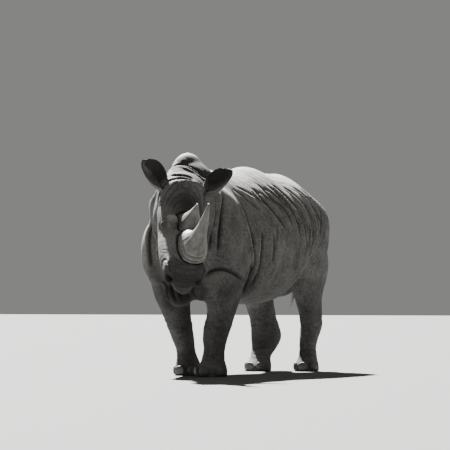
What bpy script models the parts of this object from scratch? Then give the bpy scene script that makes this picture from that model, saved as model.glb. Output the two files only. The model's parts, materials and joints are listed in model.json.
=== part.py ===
"""White rhinoceros bull (Ceratotherium simum), standing still, life size, as a set of solids.

The animal faces -Y with +Z up, and stands on z = 0. Its trunk lies along Y, its left side is +X, and its head
is lowered and turned to its left. Lengths are in metres. The body is lofted from oval stations, given its
muscle masses, fused into one skin and then parted with cuts of CUT_GAP into the pieces a person would name.
"""

import bpy
import bmesh
import numpy as np
from math import cos, hypot, pi, radians, sin
from mathutils import Matrix, Vector

# ---- Driving sizes -----------------------------------------------------------------------------------
MIDDLE = Vector((-0.1804, 0.3363, 0.0))  # moves the plan centre of the finished animal to the origin
CUT_GAP = 0.0004  # clearance between neighbouring pieces
FUSE_VOXEL = 0.017  # grid of the fused body
FUSE_SMOOTH = 12  # smoothing passes that turn the lofts' creases into flesh
BODY_SHARE = 0.028  # share of the fused skin's faces that is kept
RING = 36  # points round a body station

# ---- Trunk: y, top, bottom, half-width above, half-width below, roundness above, roundness below -----
TRUNK = {
    "chest": (-1.10, 1.26, 0.86, 0.13, 0.15, 2.0, 2.0),
    "brisket": (-1.01, 1.52, 0.70, 0.22, 0.24, 1.9, 2.0),
    "wither": (-0.82, 1.72, 0.62, 0.25, 0.35, 1.75, 2.0),
    "shoulder": (-0.55, 1.71, 0.625, 0.32, 0.43, 1.8, 2.1),
    "dip": (-0.25, 1.69, 0.60, 0.38, 0.48, 1.9, 2.15),
    "ribs": (0.05, 1.755, 0.585, 0.415, 0.51, 1.80, 2.15),
    "saddle": (0.20, 1.758, 0.590, 0.42, 0.515, 1.80, 2.15),
    "belly": (0.35, 1.725, 0.61, 0.425, 0.52, 1.82, 2.15),
    "flank": (0.58, 1.724, 0.74, 0.41, 0.465, 1.80, 2.15),
    "croup": (0.73, 1.724, 0.81, 0.40, 0.43, 1.70, 2.1),
    "hip": (0.91, 1.612, 0.88, 0.40, 0.395, 2.0, 2.1),
    "rump": (1.06, 1.550, 0.93, 0.365, 0.34, 2.05, 2.0),
    "buttock": (1.18, 1.43, 1.00, 0.20, 0.22, 2.0, 2.0),
    "dock": (1.22, 1.32, 1.10, 0.08, 0.09, 2.0, 2.0),
}

# ---- Head: its frame, then stations along it, from the poll to the lips ------------------------------
POLL = Vector((0.288, -1.32, 1.60))  # top of the head between the ears
HEAD_DOWN = radians(50)  # below the horizon
HEAD_TURN = radians(37)  # to the animal's left
HEAD_TILT = radians(-11)  # the left ear is carried lower
HORN_TILT = radians(-8)  # the horns lean back towards upright
FACE_SWAY = (0.024, 0.046)  # how far the face lies to the right of its horns, at the brow and at the lips
CHIN_SWAY = 0.055  # how far the chewing chin lies to the left of the lips
SKULL = {
    "nape": (-0.08, -0.05, -0.28, 0.15, 0.18, 2.0, 2.1),
    "poll": (0.04, -0.01, -0.34, 0.17, 0.185, 2.2, 2.2),
    "temple": (0.17, -0.02, -0.37, 0.175, 0.19, 2.5, 2.3),
    "brow": (0.31, -0.05, -0.37, 0.165, 0.19, 2.7, 2.3),
    "eye": (0.44, -0.06, -0.34, 0.155, 0.208, 2.7, 2.3),
    "cheek": (0.57, -0.05, -0.31, 0.145, 0.224, 2.5, 2.4),
    "nose": (0.69, -0.045, -0.295, 0.135, 0.222, 2.4, 2.5),
    "nostril": (0.79, -0.06, -0.285, 0.14, 0.194, 2.5, 2.7),
    "muzzle": (0.87, -0.11, -0.275, 0.14, 0.170, 2.7, 3.0),
    "lip": (0.925, -0.165, -0.262, 0.125, 0.148, 2.6, 2.8),
    "lip_end": (0.945, -0.19, -0.238, 0.09, 0.115, 2.3, 2.4),
}
JAW = {
    "hinge": (0.02, -0.20, -0.39, 0.165, 0.12, 2.1, 2.1),
    "angle": (0.15, -0.24, -0.43, 0.175, 0.13, 2.1, 2.2),
    "ramus": (0.30, -0.24, -0.43, 0.175, 0.125, 2.1, 2.2),
    "corner": (0.48, -0.24, -0.40, 0.165, 0.11, 2.1, 2.2),
    "middle": (0.65, -0.235, -0.39, 0.145, 0.10, 2.1, 2.2),
    "chin": (0.78, -0.25, -0.405, 0.115, 0.09, 2.1, 2.2),
    "lower_lip": (0.86, -0.275, -0.41, 0.095, 0.075, 2.1, 2.2),
    "end": (0.905, -0.30, -0.39, 0.064, 0.05, 2.0, 2.0),
}

# ---- Neck: share of the way, half-height above, half-height below, half-width, roundness -------------
NECK = {
    "root": (0.0, 0.52, 0.46, 0.32, 1.9),
    "crest": (0.3, 0.50, 0.43, 0.30, 1.9),
    "middle": (0.6, 0.42, 0.36, 0.26, 2.0),
    "throat": (0.85, 0.29, 0.27, 0.215, 2.1),
    "head": (1.0, 0.20, 0.20, 0.175, 2.1),
}
NECK_ROOT = Vector((0.0, -0.62, 1.16))
NECK_ROOT_PULL = Vector((0.0, -0.34, 0.13))
NECK_HEAD_PULL = 0.22

# ---- Legs: height, half-width across, half-length fore and aft, bow towards the tail -----------------
FORELEG = {
    "scapula": (1.18, 0.05, 0.13, 0.00),
    "arm": (1.00, 0.115, 0.23, 0.00),
    "elbow": (0.82, 0.14, 0.235, 0.02),
    "forearm": (0.66, 0.132, 0.180, 0.015),
    "above_knee": (0.53, 0.110, 0.140, 0.00),
    "knee": (0.42, 0.100, 0.125, -0.01),
    "cannon": (0.31, 0.086, 0.108, 0.00),
    "pastern": (0.21, 0.074, 0.090, 0.005),
    "coronet": (0.12, 0.086, 0.104, 0.00),
    "foot": (0.055, 0.112, 0.130, -0.01),
    "sole": (-0.03, 0.116, 0.136, -0.012),
}
HINDLEG = {
    "haunch": (1.22, 0.07, 0.17, 0.00),
    "thigh": (1.02, 0.15, 0.29, 0.00),
    "stifle": (0.84, 0.145, 0.255, 0.02),
    "gaskin": (0.66, 0.110, 0.160, 0.030),
    "above_hock": (0.52, 0.094, 0.130, 0.072),
    "hock": (0.40, 0.090, 0.126, 0.085),
    "cannon": (0.29, 0.080, 0.098, 0.035),
    "pastern": (0.20, 0.074, 0.086, 0.015),
    "coronet": (0.12, 0.084, 0.094, 0.01),
    "foot": (0.055, 0.106, 0.120, -0.01),
    "sole": (-0.03, 0.110, 0.126, -0.015),
}
# The legs that differ: the left foreleg stands straight, the right one leans out, the right hind leg is bent
STRAIGHT_FORELEG = {
    **FORELEG,
    "forearm": (0.66, 0.122, 0.175, 0.055),
    "above_knee": (0.53, 0.096, 0.124, 0.070),
    "knee": (0.42, 0.097, 0.120, 0.030),
}
LEANING_FORELEG = {
    **FORELEG,
    "forearm": (0.66, 0.132, 0.180, -0.025),
    "above_knee": (0.53, 0.110, 0.140, -0.020),
}
BENT_HINDLEG = {
    "haunch": (1.22, 0.07, 0.17, 0.00),
    "thigh": (1.02, 0.15, 0.29, 0.00),
    "stifle": (0.84, 0.150, 0.255, -0.04),
    "gaskin": (0.66, 0.124, 0.172, -0.045),
    "above_hock": (0.50, 0.112, 0.142, -0.008),
    "hock_top": (0.40, 0.110, 0.162, 0.042),
    "hock": (0.30, 0.106, 0.178, 0.066),
    "cannon": (0.22, 0.096, 0.145, 0.052),
    "pastern": (0.15, 0.087, 0.104, 0.008),
    "coronet": (0.10, 0.090, 0.102, -0.008),
    "foot": (0.05, 0.106, 0.120, -0.012),
    "sole": (-0.03, 0.110, 0.126, -0.015),
}
# Each leg: its stations, where it enters the body (x, y), where its foot stands (x, y), extra bow,
# toe-out angle, girth
LEGS = {
    "foreleg_left": (STRAIGHT_FORELEG, (0.29, -0.72), (0.185, -0.755), 0.0, radians(8), 1.12),
    "foreleg_right": (LEANING_FORELEG, (-0.265, -0.82), (-0.12, -0.565), 0.0, radians(-8), 1.0),
    "hindleg_left": (HINDLEG, (0.24, 0.81), (0.21, 0.90), 0.0, radians(14), 1.0),
    "hindleg_right": (BENT_HINDLEG, (-0.24, 0.70), (-0.17, 0.70), 0.13, radians(-14), 1.0),
}

# ---- Muscle masses: centre, radii --------------------------------------------------------------------
BODY_MASSES = {
    "hump": ((-0.008, -0.80, 1.590), (0.118, 0.24, 0.240)),
    "hump_base": ((0.018, -0.80, 1.555), (0.178, 0.28, 0.205)),
    "hump_front": ((0.050, -0.98, 1.49), (0.15, 0.24, 0.22)),
    "hump_back": ((-0.030, -0.55, 1.47), (0.15, 0.40, 0.25)),
    "neck_left": ((0.175, -0.80, 1.36), (0.165, 0.36, 0.22)),
    "neck_right": ((-0.145, -0.76, 1.38), (0.150, 0.34, 0.20)),
    "crest": ((0.03, -0.86, 1.42), (0.235, 0.36, 0.26)),
    "nape": ((0.12, -1.10, 1.48), (0.17, 0.26, 0.17)),
    "throat": ((0.08, -1.02, 1.02), (0.22, 0.20, 0.30)),
    "brisket": ((-0.03, -0.90, 0.685), (0.10, 0.16, 0.125)),
    "brisket_left": ((0.15, -0.86, 0.71), (0.065, 0.13, 0.10)),
    "groin": ((-0.02, 0.79, 0.78), (0.13, 0.27, 0.13)),
}
PAIRED_MASSES = {
    "shoulder_blade": ((0.25, -0.68, 1.14), (0.14, 0.27, 0.38)),
    "upper_arm": ((0.255, -0.79, 0.97), (0.12, 0.23, 0.27)),
    "shoulder_point": ((0.19, -0.97, 1.02), (0.15, 0.13, 0.27)),
    "haunch": ((0.23, 0.84, 1.18), (0.17, 0.30, 0.34)),
    "stifle": ((0.27, 0.66, 0.98), (0.09, 0.14, 0.18)),
}
HEAD_MASSES = {
    "jaw_muscle": ((0.125, 0.20, -0.26), (0.065, 0.18, 0.16)),
    "cheekbone": ((0.148, 0.33, -0.17), (0.048, 0.20, 0.06)),
    "brow_ridge": ((0.124, 0.452, -0.064), (0.050, 0.068, 0.053)),
    "nostril_rim": ((0.114, 0.845, -0.150), (0.054, 0.085, 0.072)),
}
MIDDLE_HEAD_MASSES = {
    "front_horn_boss": ((0.0, 0.665, -0.085), (0.13, 0.16, 0.06)),
    "rear_horn_boss": ((0.0, 0.43, -0.09), (0.10, 0.10, 0.05)),
    "upper_lip": ((0.0, 0.885, -0.215), (0.155, 0.065, 0.06)),
}

# ---- Horns: share of the length, half-width across, half-length fore and aft -------------------------
FRONT_HORN = {
    "base": (0.0, 0.106, 0.138),
    "collar": (0.08, 0.103, 0.130),
    "flare": (0.20, 0.087, 0.102),
    "stem": (0.35, 0.062, 0.072),
    "middle": (0.55, 0.043, 0.050),
    "upper": (0.78, 0.026, 0.031),
    "tip": (1.0, 0.006, 0.007),
}
REAR_HORN = {
    "base": (0.0, 0.098, 0.115),
    "flare": (0.25, 0.074, 0.088),
    "stem": (0.55, 0.046, 0.055),
    "upper": (0.82, 0.022, 0.027),
    "tip": (1.0, 0.006, 0.007),
}
# Each horn: stations, (along, up) of its base on the head, length, lean forward at the base, turn back
HORNS = {
    "horn_front": (FRONT_HORN, (0.70, -0.060), 0.54, radians(24), radians(44)),
    "horn_rear": (REAR_HORN, (0.455, -0.085), 0.27, radians(10), radians(16)),
}
HORN_SQUARENESS = 0.9  # how much squarer than an oval a horn is at its base

# ---- Ears: share of the length, half-width, depth of the cup, half-angle of the cup, shift to the midline 
EAR = {
    "root": (-0.16, 0.040, 0.040, 150, 0.000),
    "neck": (0.0, 0.056, 0.050, 138, 0.002),
    "bell": (0.20, 0.077, 0.062, 118, 0.010),
    "middle": (0.48, 0.083, 0.063, 100, 0.018),
    "upper": (0.74, 0.071, 0.046, 82, 0.020),
    "shoulder": (0.92, 0.042, 0.022, 70, 0.008),
    "tip": (1.0, 0.010, 0.007, 60, 0.000),
}
EAR_LENGTH = 0.25
EAR_THICKNESS = 0.012
# Each ear: its root in the head's frame, where it points and where its cup opens in the body's frame
EARS = {
    "ear_right": ((-0.185, 0.050, -0.090), (-0.50, -0.36, 0.76), (0.62, -0.78, 0.05)),
    "ear_left": ((0.190, 0.035, -0.088), (0.76, 0.36, 0.68), (-0.15, -0.96, 0.0)),
}

# ---- Eyes, tail and toes -----------------------------------------------------------------------------
EYE = ((0.162, 0.430, -0.140), 0.026)  # centre in the head's frame, ball radius
TAIL = {
    "root": (0.0, 0.045, 0.050),
    "upper": (0.25, 0.034, 0.037),
    "middle": (0.55, 0.024, 0.025),
    "lower": (0.80, 0.021, 0.018),
    "flat": (0.93, 0.026, 0.015),
    "end": (1.0, 0.012, 0.008),
}
TAIL_PATH = [(0.0, 1.09, 1.37), (0.0, 1.27, 1.36), (-0.02, 1.265, 1.05), (-0.07, 1.215, 0.67)]
TOES = (-52, 0, 52)  # degrees from the toe of the foot
NAIL = (0.034, 0.014, 0.036)  # half-width, half-thickness, half-height of a side nail
NAIL_HEIGHT = 0.045
MIDDLE_NAIL = 1.35  # times as wide as a side nail

# ---- Cuts between the pieces -------------------------------------------------------------------------
HEAD_BOX = (0.27, -0.005, 1.15, -0.47, 0.60)  # half-width, then from and to along, then from and to up
NECK_CUT = (Vector((0.0, -0.62, 1.72)), radians(-32))  # a point of the cut behind the hump, its lean
LEG_SPLIT = 0.03  # x between the left and the right legs' pieces
LEG_CUTS = {  # height, inner x and outer x from the split, front y, rear y; mirrored for the right side
    "foreleg": (
        (-0.10, 0.012, 0.75, -1.40, -0.05),
        (0.52, 0.014, 0.75, -1.30, -0.15),
        (0.60, 0.055, 0.75, -1.20, -0.24),
        (0.74, 0.120, 0.75, -1.06, -0.34),
        (0.95, 0.160, 0.75, -1.03, -0.40),
        (1.12, 0.190, 0.75, -0.96, -0.48),
        (1.25, 0.240, 0.75, -0.84, -0.58),
    ),
    "hindleg": (
        (-0.10, 0.012, 0.75, 0.05, 1.60),
        (0.60, 0.014, 0.75, 0.28, 1.50),
        (0.80, 0.060, 0.75, 0.38, 1.16),
        (1.02, 0.120, 0.75, 0.46, 1.12),
        (1.20, 0.180, 0.75, 0.56, 1.06),
        (1.34, 0.230, 0.75, 0.68, 0.98),
    ),
}

# ---- Materials: base colour, roughness ---------------------------------------------------------------
MATERIALS = {
    "hide": ((0.150, 0.145, 0.138, 1.0), 0.85),
    "ear_hide": ((0.115, 0.110, 0.104, 1.0), 0.88),
    "horn_keratin": ((0.240, 0.225, 0.200, 1.0), 0.62),
    "toenail_keratin": ((0.190, 0.180, 0.165, 1.0), 0.60),
    "wet_eye": ((0.012, 0.010, 0.009, 1.0), 0.08),
}


def through_stations(table, steps):
    """Rows on a smooth curve through the table's rows, `steps` rows from each to the next."""
    rows = np.array(list(table.values()) if isinstance(table, dict) else table, float)
    slopes = np.gradient(rows, axis=0)
    found = []
    for i in range(len(rows) - 1):
        for t in np.linspace(0.0, 1.0, steps, endpoint=False):
            start, end = 2 * t**3 - 3 * t**2 + 1, 3 * t**2 - 2 * t**3
            leave, arrive = t**3 - 2 * t**2 + t, t**3 - t**2
            found.append(start * rows[i] + end * rows[i + 1] + leave * slopes[i] + arrive * slopes[i + 1])
    found.append(rows[-1])
    return np.array(found)


def oval(top, bottom, half_above, half_below, round_above, round_below, count=RING):
    """(across, up) points round a station whose half-width runs from half_below up to half_above."""
    points = []
    for k in range(count):
        turn = 2 * pi * k / count
        power = 2 / (round_above if sin(turn) >= 0 else round_below)
        across = abs(cos(turn)) ** power * (1 if cos(turn) >= 0 else -1)
        up = abs(sin(turn)) ** power * (1 if sin(turn) >= 0 else -1)
        half = half_below + (half_above - half_below) * (up + 1) / 2
        points.append((half * across, (top + bottom) / 2 + up * (top - bottom) / 2))
    return points


def loft(rings):
    """A closed mesh through rings of equal count, capped at both ends."""
    mesh = bmesh.new()
    loops = [[mesh.verts.new(point) for point in ring] for ring in rings]
    for lower, upper in zip(loops, loops[1:]):
        for k in range(len(lower)):
            following = (k + 1) % len(lower)
            mesh.faces.new((lower[k], lower[following], upper[following], upper[k]))
    mesh.faces.new(loops[0][::-1])
    mesh.faces.new(loops[-1])
    bmesh.ops.recalc_face_normals(mesh, faces=mesh.faces)
    return mesh


def ellipsoid(centre, radii, frame=Matrix.Identity(4), fineness=3):
    mesh = bmesh.new()
    place = frame @ Matrix.Translation(centre) @ Matrix.Diagonal((*radii, 1.0))
    bmesh.ops.create_icosphere(mesh, subdivisions=fineness, radius=1.0, matrix=place)
    return mesh


def frame_from(origin, across, along, up):
    """A placement whose X, Y and Z columns are the given directions."""
    columns = Matrix((across, along, up)).transposed().to_4x4()
    return Matrix.Translation(origin) @ columns


def head_frame(tilt_angle=HEAD_TILT):
    """X to the animal's left, Y along the head towards the lips, Z out of its forehead."""
    ahead = Vector((sin(HEAD_TURN), -cos(HEAD_TURN), 0.0))
    along = ahead * cos(HEAD_DOWN) - Vector((0, 0, sin(HEAD_DOWN)))
    up = ahead * sin(HEAD_DOWN) + Vector((0, 0, cos(HEAD_DOWN)))
    tilt = Matrix.Rotation(tilt_angle, 3, along)
    up = tilt @ up
    return frame_from(POLL, up.cross(along), along, up)


def on_face(x, along, up):
    """A place of the head's frame, moved with the face."""
    share = min(max((along - 0.45) / 0.40, 0.0), 1.0)
    deep = min(max((-0.25 - up) / 0.15, 0.0), 1.0)
    x += CHIN_SWAY * share * deep
    return Vector((x - FACE_SWAY[0] - (FACE_SWAY[1] - FACE_SWAY[0]) * share, along, up))


def trunk_mesh():
    rings = []
    for y, *shape in through_stations(TRUNK, 4):
        rings.append([(x, y, z) for x, z in oval(*shape)])
    return loft(rings)


def head_mesh(frame, stations):
    rings = []
    for along, *shape in through_stations(stations, 4):
        rings.append([frame @ on_face(x, along, up) for x, up in oval(*shape)])
    return loft(rings)


def neck_mesh(frame):
    """Follows a curve from the shoulders to the back of the head; its stations turn from one to the other."""
    ends = [NECK_ROOT, NECK_ROOT + NECK_ROOT_PULL]
    head_end = frame @ Vector((0.0, 0.06, -0.20))
    ends += [head_end - frame.col[1].to_3d() * NECK_HEAD_PULL, head_end]
    upright = Matrix.Rotation(pi, 4, "Z").to_quaternion()
    turned = frame.to_quaternion()
    rings = []
    for way, above, below, width, roundness in through_stations(NECK, 4):
        back = 1 - way
        centre = (
            ends[0] * back**3 + ends[1] * 3 * back**2 * way + ends[2] * 3 * back * way**2 + ends[3] * way**3
        )
        place = Matrix.Translation(centre) @ upright.slerp(turned, way).to_matrix().to_4x4()
        shape = oval(above, -below, width, width, roundness, roundness)
        rings.append([place @ Vector((x, 0.0, up)) for x, up in shape])
    return loft(rings)


def leg_centre(leg, height, bow):
    """Where the leg's axis passes this height, on the line from the body to the foot, bowed to the rear."""
    stations, root, foot, extra_bow = LEGS[leg][:4]
    top = max(row[0] for row in stations.values())
    way = 1 - max(height, 0.0) / top
    bend = extra_bow * sin(pi * min(max((0.9 - height) / 0.9, 0.0), 1.0))
    return (
        root[0] + (foot[0] - root[0]) * way,
        root[1] + (foot[1] - root[1]) * way + bow + bend,
    )


def leg_turn(leg, height):
    """How far the foot's toe is turned out at this height."""
    return LEGS[leg][4] * max(0.0, 1 - max(height, 0.0) / 0.5)


def leg_mesh(leg):
    rings = []
    for height, across, along, bow in through_stations(LEGS[leg][0], 4):
        x, y = leg_centre(leg, height, bow)
        girth = 1 + (LEGS[leg][5] - 1) * min(1.0, max(0.0, (1.0 - height) / 0.3))
        turn = leg_turn(leg, height)
        ring = []
        for dx, dy in oval(along * girth, -along * girth, across * girth, across * girth, 2.15, 2.15):
            ring.append((x + dx * cos(turn) - dy * sin(turn), y + dx * sin(turn) + dy * cos(turn), height))
        rings.append(ring)
    return loft(rings)


def both_sides(masses):
    """Each mass and its mirror image."""
    for (x, y, z), radii in masses.values():
        yield (x, y, z), radii
        yield (-x, y, z), radii


def horn_mesh(frame, horn, steps=2, count=16):
    """Stations along an arc that leans forward at its base and turns back."""
    stations, (along, up), length, lean, turn_back = HORNS[horn]
    rings = []
    place = Vector((0.0, along, up))
    before = 0.0
    for share, across, fore_aft in through_stations(stations, steps):
        angle = lean - turn_back * (share + before) / 2
        place = place + Vector((0.0, sin(angle), cos(angle))) * length * (share - before)
        before = share
        angle = lean - turn_back * share
        ahead = Vector((0.0, cos(angle), -sin(angle)))
        roundness = 2 + HORN_SQUARENESS * (1 - share) ** 2
        section = oval(fore_aft, -fore_aft, across, across, roundness, roundness, count)
        ring = [place + Vector((x, 0, 0)) + ahead * y for x, y in section]
        rings.append([frame @ point for point in ring])
    return loft(rings)


def ear_mesh(frame, ear, steps=2, count=7):
    """A cupped leaf: each ring runs round the outside of the cup and back round its inside."""
    root, points, opens = EARS[ear]
    root = frame @ Vector(root)
    along = Vector(points).normalized()
    opens = Vector(opens)
    opens = (opens - along * opens.dot(along)).normalized()
    across = opens.cross(along)
    inwards = across if ear == "ear_left" else -across
    rings = []
    for share, half_width, depth, half_angle, shift in through_stations(EAR, steps):
        centre = root + along * share * EAR_LENGTH + inwards * shift
        outside = []
        inside = []
        thickness = min(EAR_THICKNESS, 0.45 * half_width)
        for k in range(count):
            angle = radians(half_angle) * (2 * k / (count - 1) - 1)
            out = centre + across * half_width * sin(angle) - opens * depth * cos(angle)
            shrink = 1 - thickness / half_width
            inner = centre + across * half_width * shrink * sin(angle)
            inner -= opens * (depth - thickness) * cos(angle)
            outside.append(out)
            inside.append(inner)
        rings.append(outside + inside[::-1])
    return loft(rings)


def curve_point(ends, way):
    back = 1 - way
    a, b, c, d = (Vector(end) for end in ends)
    return a * back**3 + b * 3 * back**2 * way + c * 3 * back * way**2 + d * way**3


def tail_mesh(steps=2, count=10):
    rings = []
    for way, across, fore_aft in through_stations(TAIL, steps):
        here = curve_point(TAIL_PATH, way)
        along = (curve_point(TAIL_PATH, way + 0.01) - curve_point(TAIL_PATH, way - 0.01)).normalized()
        left = Vector((1.0, 0.0, 0.0))
        out = left.cross(along)
        section = oval(fore_aft, -fore_aft, across, across, 2, 2, count)
        rings.append([here + left * x + out * y for x, y in section])
    return loft(rings)


def foot_edge(leg, angle, height):
    """The point of the foot's outline at this angle from its toe, and the way out of it."""
    rows = through_stations(LEGS[leg][0], 8)
    _, across, along, bow = min(rows, key=lambda row: abs(row[0] - height))
    x, y = leg_centre(leg, height, bow)
    girth = LEGS[leg][5]
    turn = leg_turn(leg, height) + angle
    toe = leg_turn(leg, height)
    local = Vector((sin(angle) * across * girth, -cos(angle) * along * girth, 0.0))
    spin = Matrix.Rotation(toe, 3, "Z")
    out = spin @ Vector((sin(angle) / across, -cos(angle) / along, 0.0)).normalized()
    return Vector((x, y, height)) + spin @ local, out


def nail_mesh(leg, angle, grown=0.0):
    half_width, half_thick, half_height = NAIL
    if angle == 0:
        half_width *= MIDDLE_NAIL
    place, out = foot_edge(leg, radians(angle), NAIL_HEIGHT)
    left = Vector((0, 0, 1)).cross(out)
    frame = frame_from(place - out * 0.002, left, out, Vector((0, 0, 1)))
    mesh = bmesh.new()
    bmesh.ops.create_uvsphere(mesh, u_segments=8, v_segments=6, radius=1.0)
    grow = Vector((half_width + grown, half_thick + grown, half_height + grown))
    bmesh.ops.transform(mesh, matrix=frame @ Matrix.Diagonal((*grow, 1.0)), verts=mesh.verts)
    return mesh


def grown(mesh, amount):
    """The mesh with its surface moved out, for the pocket that it sits in."""
    mesh.normal_update()
    moved = [vertex.co + vertex.normal * amount * 1.15 for vertex in mesh.verts]
    for vertex, place in zip(mesh.verts, moved):
        vertex.co = place
    return mesh


def collection_named(name):
    made = bpy.data.collections.new(name)
    bpy.context.scene.collection.children.link(made)
    return made


def object_of(mesh, name, collection):
    """The mesh as an object in its collection, at its final place."""
    data = bpy.data.meshes.new(name)
    bmesh.ops.translate(mesh, vec=MIDDLE, verts=mesh.verts)
    bmesh.ops.recalc_face_normals(mesh, faces=mesh.faces)
    mesh.to_mesh(data)
    mesh.free()
    made = bpy.data.objects.new(name, data)
    collection.objects.link(made)
    return made


def cutter_of(mesh, name, collection):
    made = object_of(mesh, name, collection)
    made.hide_render = True
    made.display_type = "WIRE"
    return made


def cut(made, cutter, operation="DIFFERENCE"):
    boolean = made.modifiers.new(operation.lower() + "_" + cutter.name, "BOOLEAN")
    boolean.operation = operation
    boolean.solver = "EXACT"
    boolean.object = cutter


def flesh_parts():
    frame = head_frame()
    yield trunk_mesh()
    yield neck_mesh(frame)
    yield head_mesh(frame, SKULL)
    yield head_mesh(frame, JAW)
    for leg in LEGS:
        yield leg_mesh(leg)
    for centre, radii in [*BODY_MASSES.values(), *both_sides(PAIRED_MASSES)]:
        yield ellipsoid(centre, radii)
    for centre, radii in [*MIDDLE_HEAD_MASSES.values(), *both_sides(HEAD_MASSES)]:
        yield ellipsoid(on_face(*centre), radii, frame)


def fused_flesh(collection):
    """The lofts and masses as one skin, its creases smoothed, as a plain mesh within the triangle budget."""
    whole = bmesh.new()
    for part in flesh_parts():
        data = bpy.data.meshes.new("part")
        bmesh.ops.recalc_face_normals(part, faces=part.faces)
        part.to_mesh(data)
        part.free()
        whole.from_mesh(data)
        bpy.data.meshes.remove(data)
    body = object_of(whole, "fused_flesh", collection)
    remesh = body.modifiers.new("fuse", "REMESH")
    remesh.mode = "VOXEL"
    remesh.voxel_size = FUSE_VOXEL
    smooth = body.modifiers.new("flesh", "SMOOTH")
    smooth.factor = 0.5
    smooth.iterations = FUSE_SMOOTH
    thin = body.modifiers.new("budget", "DECIMATE")
    thin.ratio = BODY_SHARE
    floor = cutter_of(box((-3, -3, -1), (3, 3, 0)), "floor_cutter", collection)
    cut(body, floor)
    flesh = bpy.data.meshes.new_from_object(body.evaluated_get(bpy.context.evaluated_depsgraph_get()))
    bpy.data.objects.remove(body)
    bpy.data.objects.remove(floor)
    return flesh


def box(low, high, place=Matrix.Identity(4)):
    mesh = bmesh.new()
    bmesh.ops.create_cube(mesh, size=1.0)
    low, high = Vector(low), Vector(high)
    shape = Matrix.Translation((low + high) / 2) @ Matrix.Diagonal((*(high - low), 1.0))
    bmesh.ops.transform(mesh, matrix=place @ shape, verts=mesh.verts)
    return mesh


def leg_region(leg, gap=0.0):
    """Everything outside a surface that leans from the groin up over the shoulder or haunch."""
    side = 1 if leg.endswith("left") else -1
    rings = []
    for height, inner, outer, front, rear in LEG_CUTS[leg.split("_")[0]]:
        top = height + (gap if height > 1.2 else 0.0)
        inside = inner - gap
        corners = [(inside, front - gap), (outer, front - gap), (outer, rear + gap), (inside, rear + gap)]
        rings.append([(LEG_SPLIT + side * x, y, top) for x, y in corners])
    return loft(rings)


def head_region(frame, gap=0.0):
    half_width, start, end, low, high = HEAD_BOX
    return box((-half_width - gap, start - gap, low - gap), (half_width + gap, end, high), frame)


def trunk_region(gap=0.0):
    """Everything behind the cut that leans from the back of the hump down to the front of the chest."""
    place, lean = NECK_CUT
    frame = Matrix.Translation(place) @ Matrix.Rotation(lean, 4, "X")
    return box((-1.5, -gap, -3.0), (1.5, 4.0, 2.0), frame)


def materials():
    made = {}
    for name, (colour, roughness) in MATERIALS.items():
        material = bpy.data.materials.new(name)
        material.use_nodes = True
        shader = material.node_tree.nodes["Principled BSDF"]
        shader.inputs["Base Color"].default_value = colour
        shader.inputs["Roughness"].default_value = roughness
        shader.inputs["Metallic"].default_value = 0.0
        material.diffuse_color = colour
        made[name] = material
    return made


def finished(made, material):
    made.data.materials.clear()
    made.data.materials.append(material)
    made.data.shade_smooth()
    return made


def main():
    for old in list(bpy.data.objects):
        bpy.data.objects.remove(old)
    parts = collection_named("rhinoceros")
    cutters = collection_named("cutters")
    coats = materials()
    frame = head_frame()
    flesh = fused_flesh(parts)

    pieces = {}
    for name in ("head", "neck", "trunk", *LEGS):
        made = bpy.data.objects.new(name, flesh.copy())
        parts.objects.link(made)
        pieces[name] = finished(made, coats["hide"])
    bpy.data.meshes.remove(flesh)

    cut(pieces["head"], cutter_of(head_region(frame), "head_region", cutters), "INTERSECT")
    cut(pieces["trunk"], cutter_of(trunk_region(), "trunk_region", cutters), "INTERSECT")
    behind_head = cutter_of(head_region(frame, CUT_GAP), "behind_head", cutters)
    cut(pieces["neck"], behind_head)
    cut(pieces["trunk"], behind_head)
    cut(pieces["neck"], cutter_of(trunk_region(CUT_GAP), "before_trunk", cutters))
    for leg in LEGS:
        cut(pieces[leg], cutter_of(leg_region(leg), leg + "_region", cutters), "INTERSECT")
        round_leg = cutter_of(leg_region(leg, CUT_GAP), "round_" + leg, cutters)
        cut(pieces["trunk"], round_leg)
        if leg.startswith("foreleg"):
            cut(pieces["neck"], round_leg)
        for number, angle in enumerate(TOES, 1):
            nail = object_of(nail_mesh(leg, angle), f"toenail_{leg}_{number}", parts)
            finished(nail, coats["toenail_keratin"])
            pocket = cutter_of(nail_mesh(leg, angle, CUT_GAP), f"pocket_{leg}_{number}", cutters)
            cut(pieces[leg], pocket)

    horn_frame = head_frame(HORN_TILT)
    for horn in HORNS:
        finished(object_of(horn_mesh(horn_frame, horn), horn, parts), coats["horn_keratin"])
        pocket = grown(horn_mesh(horn_frame, horn), 2 * CUT_GAP)
        cut(pieces["head"], cutter_of(pocket, "under_" + horn, cutters))
    for ear in EARS:
        finished(object_of(ear_mesh(frame, ear), ear, parts), coats["ear_hide"])
        socket = cutter_of(grown(ear_mesh(frame, ear), 4 * CUT_GAP), "under_" + ear, cutters)
        cut(pieces["head"], socket)
        cut(pieces["neck"], socket)
    (x, y, z), radius = EYE
    for name, side in (("eye_left", 1), ("eye_right", -1)):
        centre = on_face(side * x, y, z)
        finished(object_of(ellipsoid(centre, (radius,) * 3, frame, 2), name, parts), coats["wet_eye"])
        reach = radius + CUT_GAP
        cut(pieces["head"], cutter_of(ellipsoid(centre, (reach,) * 3, frame, 2), "socket_" + name, cutters))
    finished(object_of(tail_mesh(), "tail", parts), coats["hide"])
    cut(pieces["trunk"], cutter_of(grown(tail_mesh(), 2 * CUT_GAP), "under_tail", cutters))


if __name__ == "__main__":
    main()
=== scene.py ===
"""White rhinoceros bull (Ceratotherium simum), standing still, life size: the looks of the museum model.

The animal faces -Y with +Z up, and its left side is +X. Lengths are in metres. The body's stations and
masses are the solids' own, fused on a finer grid into one skin. Folds, lids, lips and creases are then
pressed into it. Tables and folds are in the body's frame, which MIDDLE moves to the origin, or in the
head's frame.
"""

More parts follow.
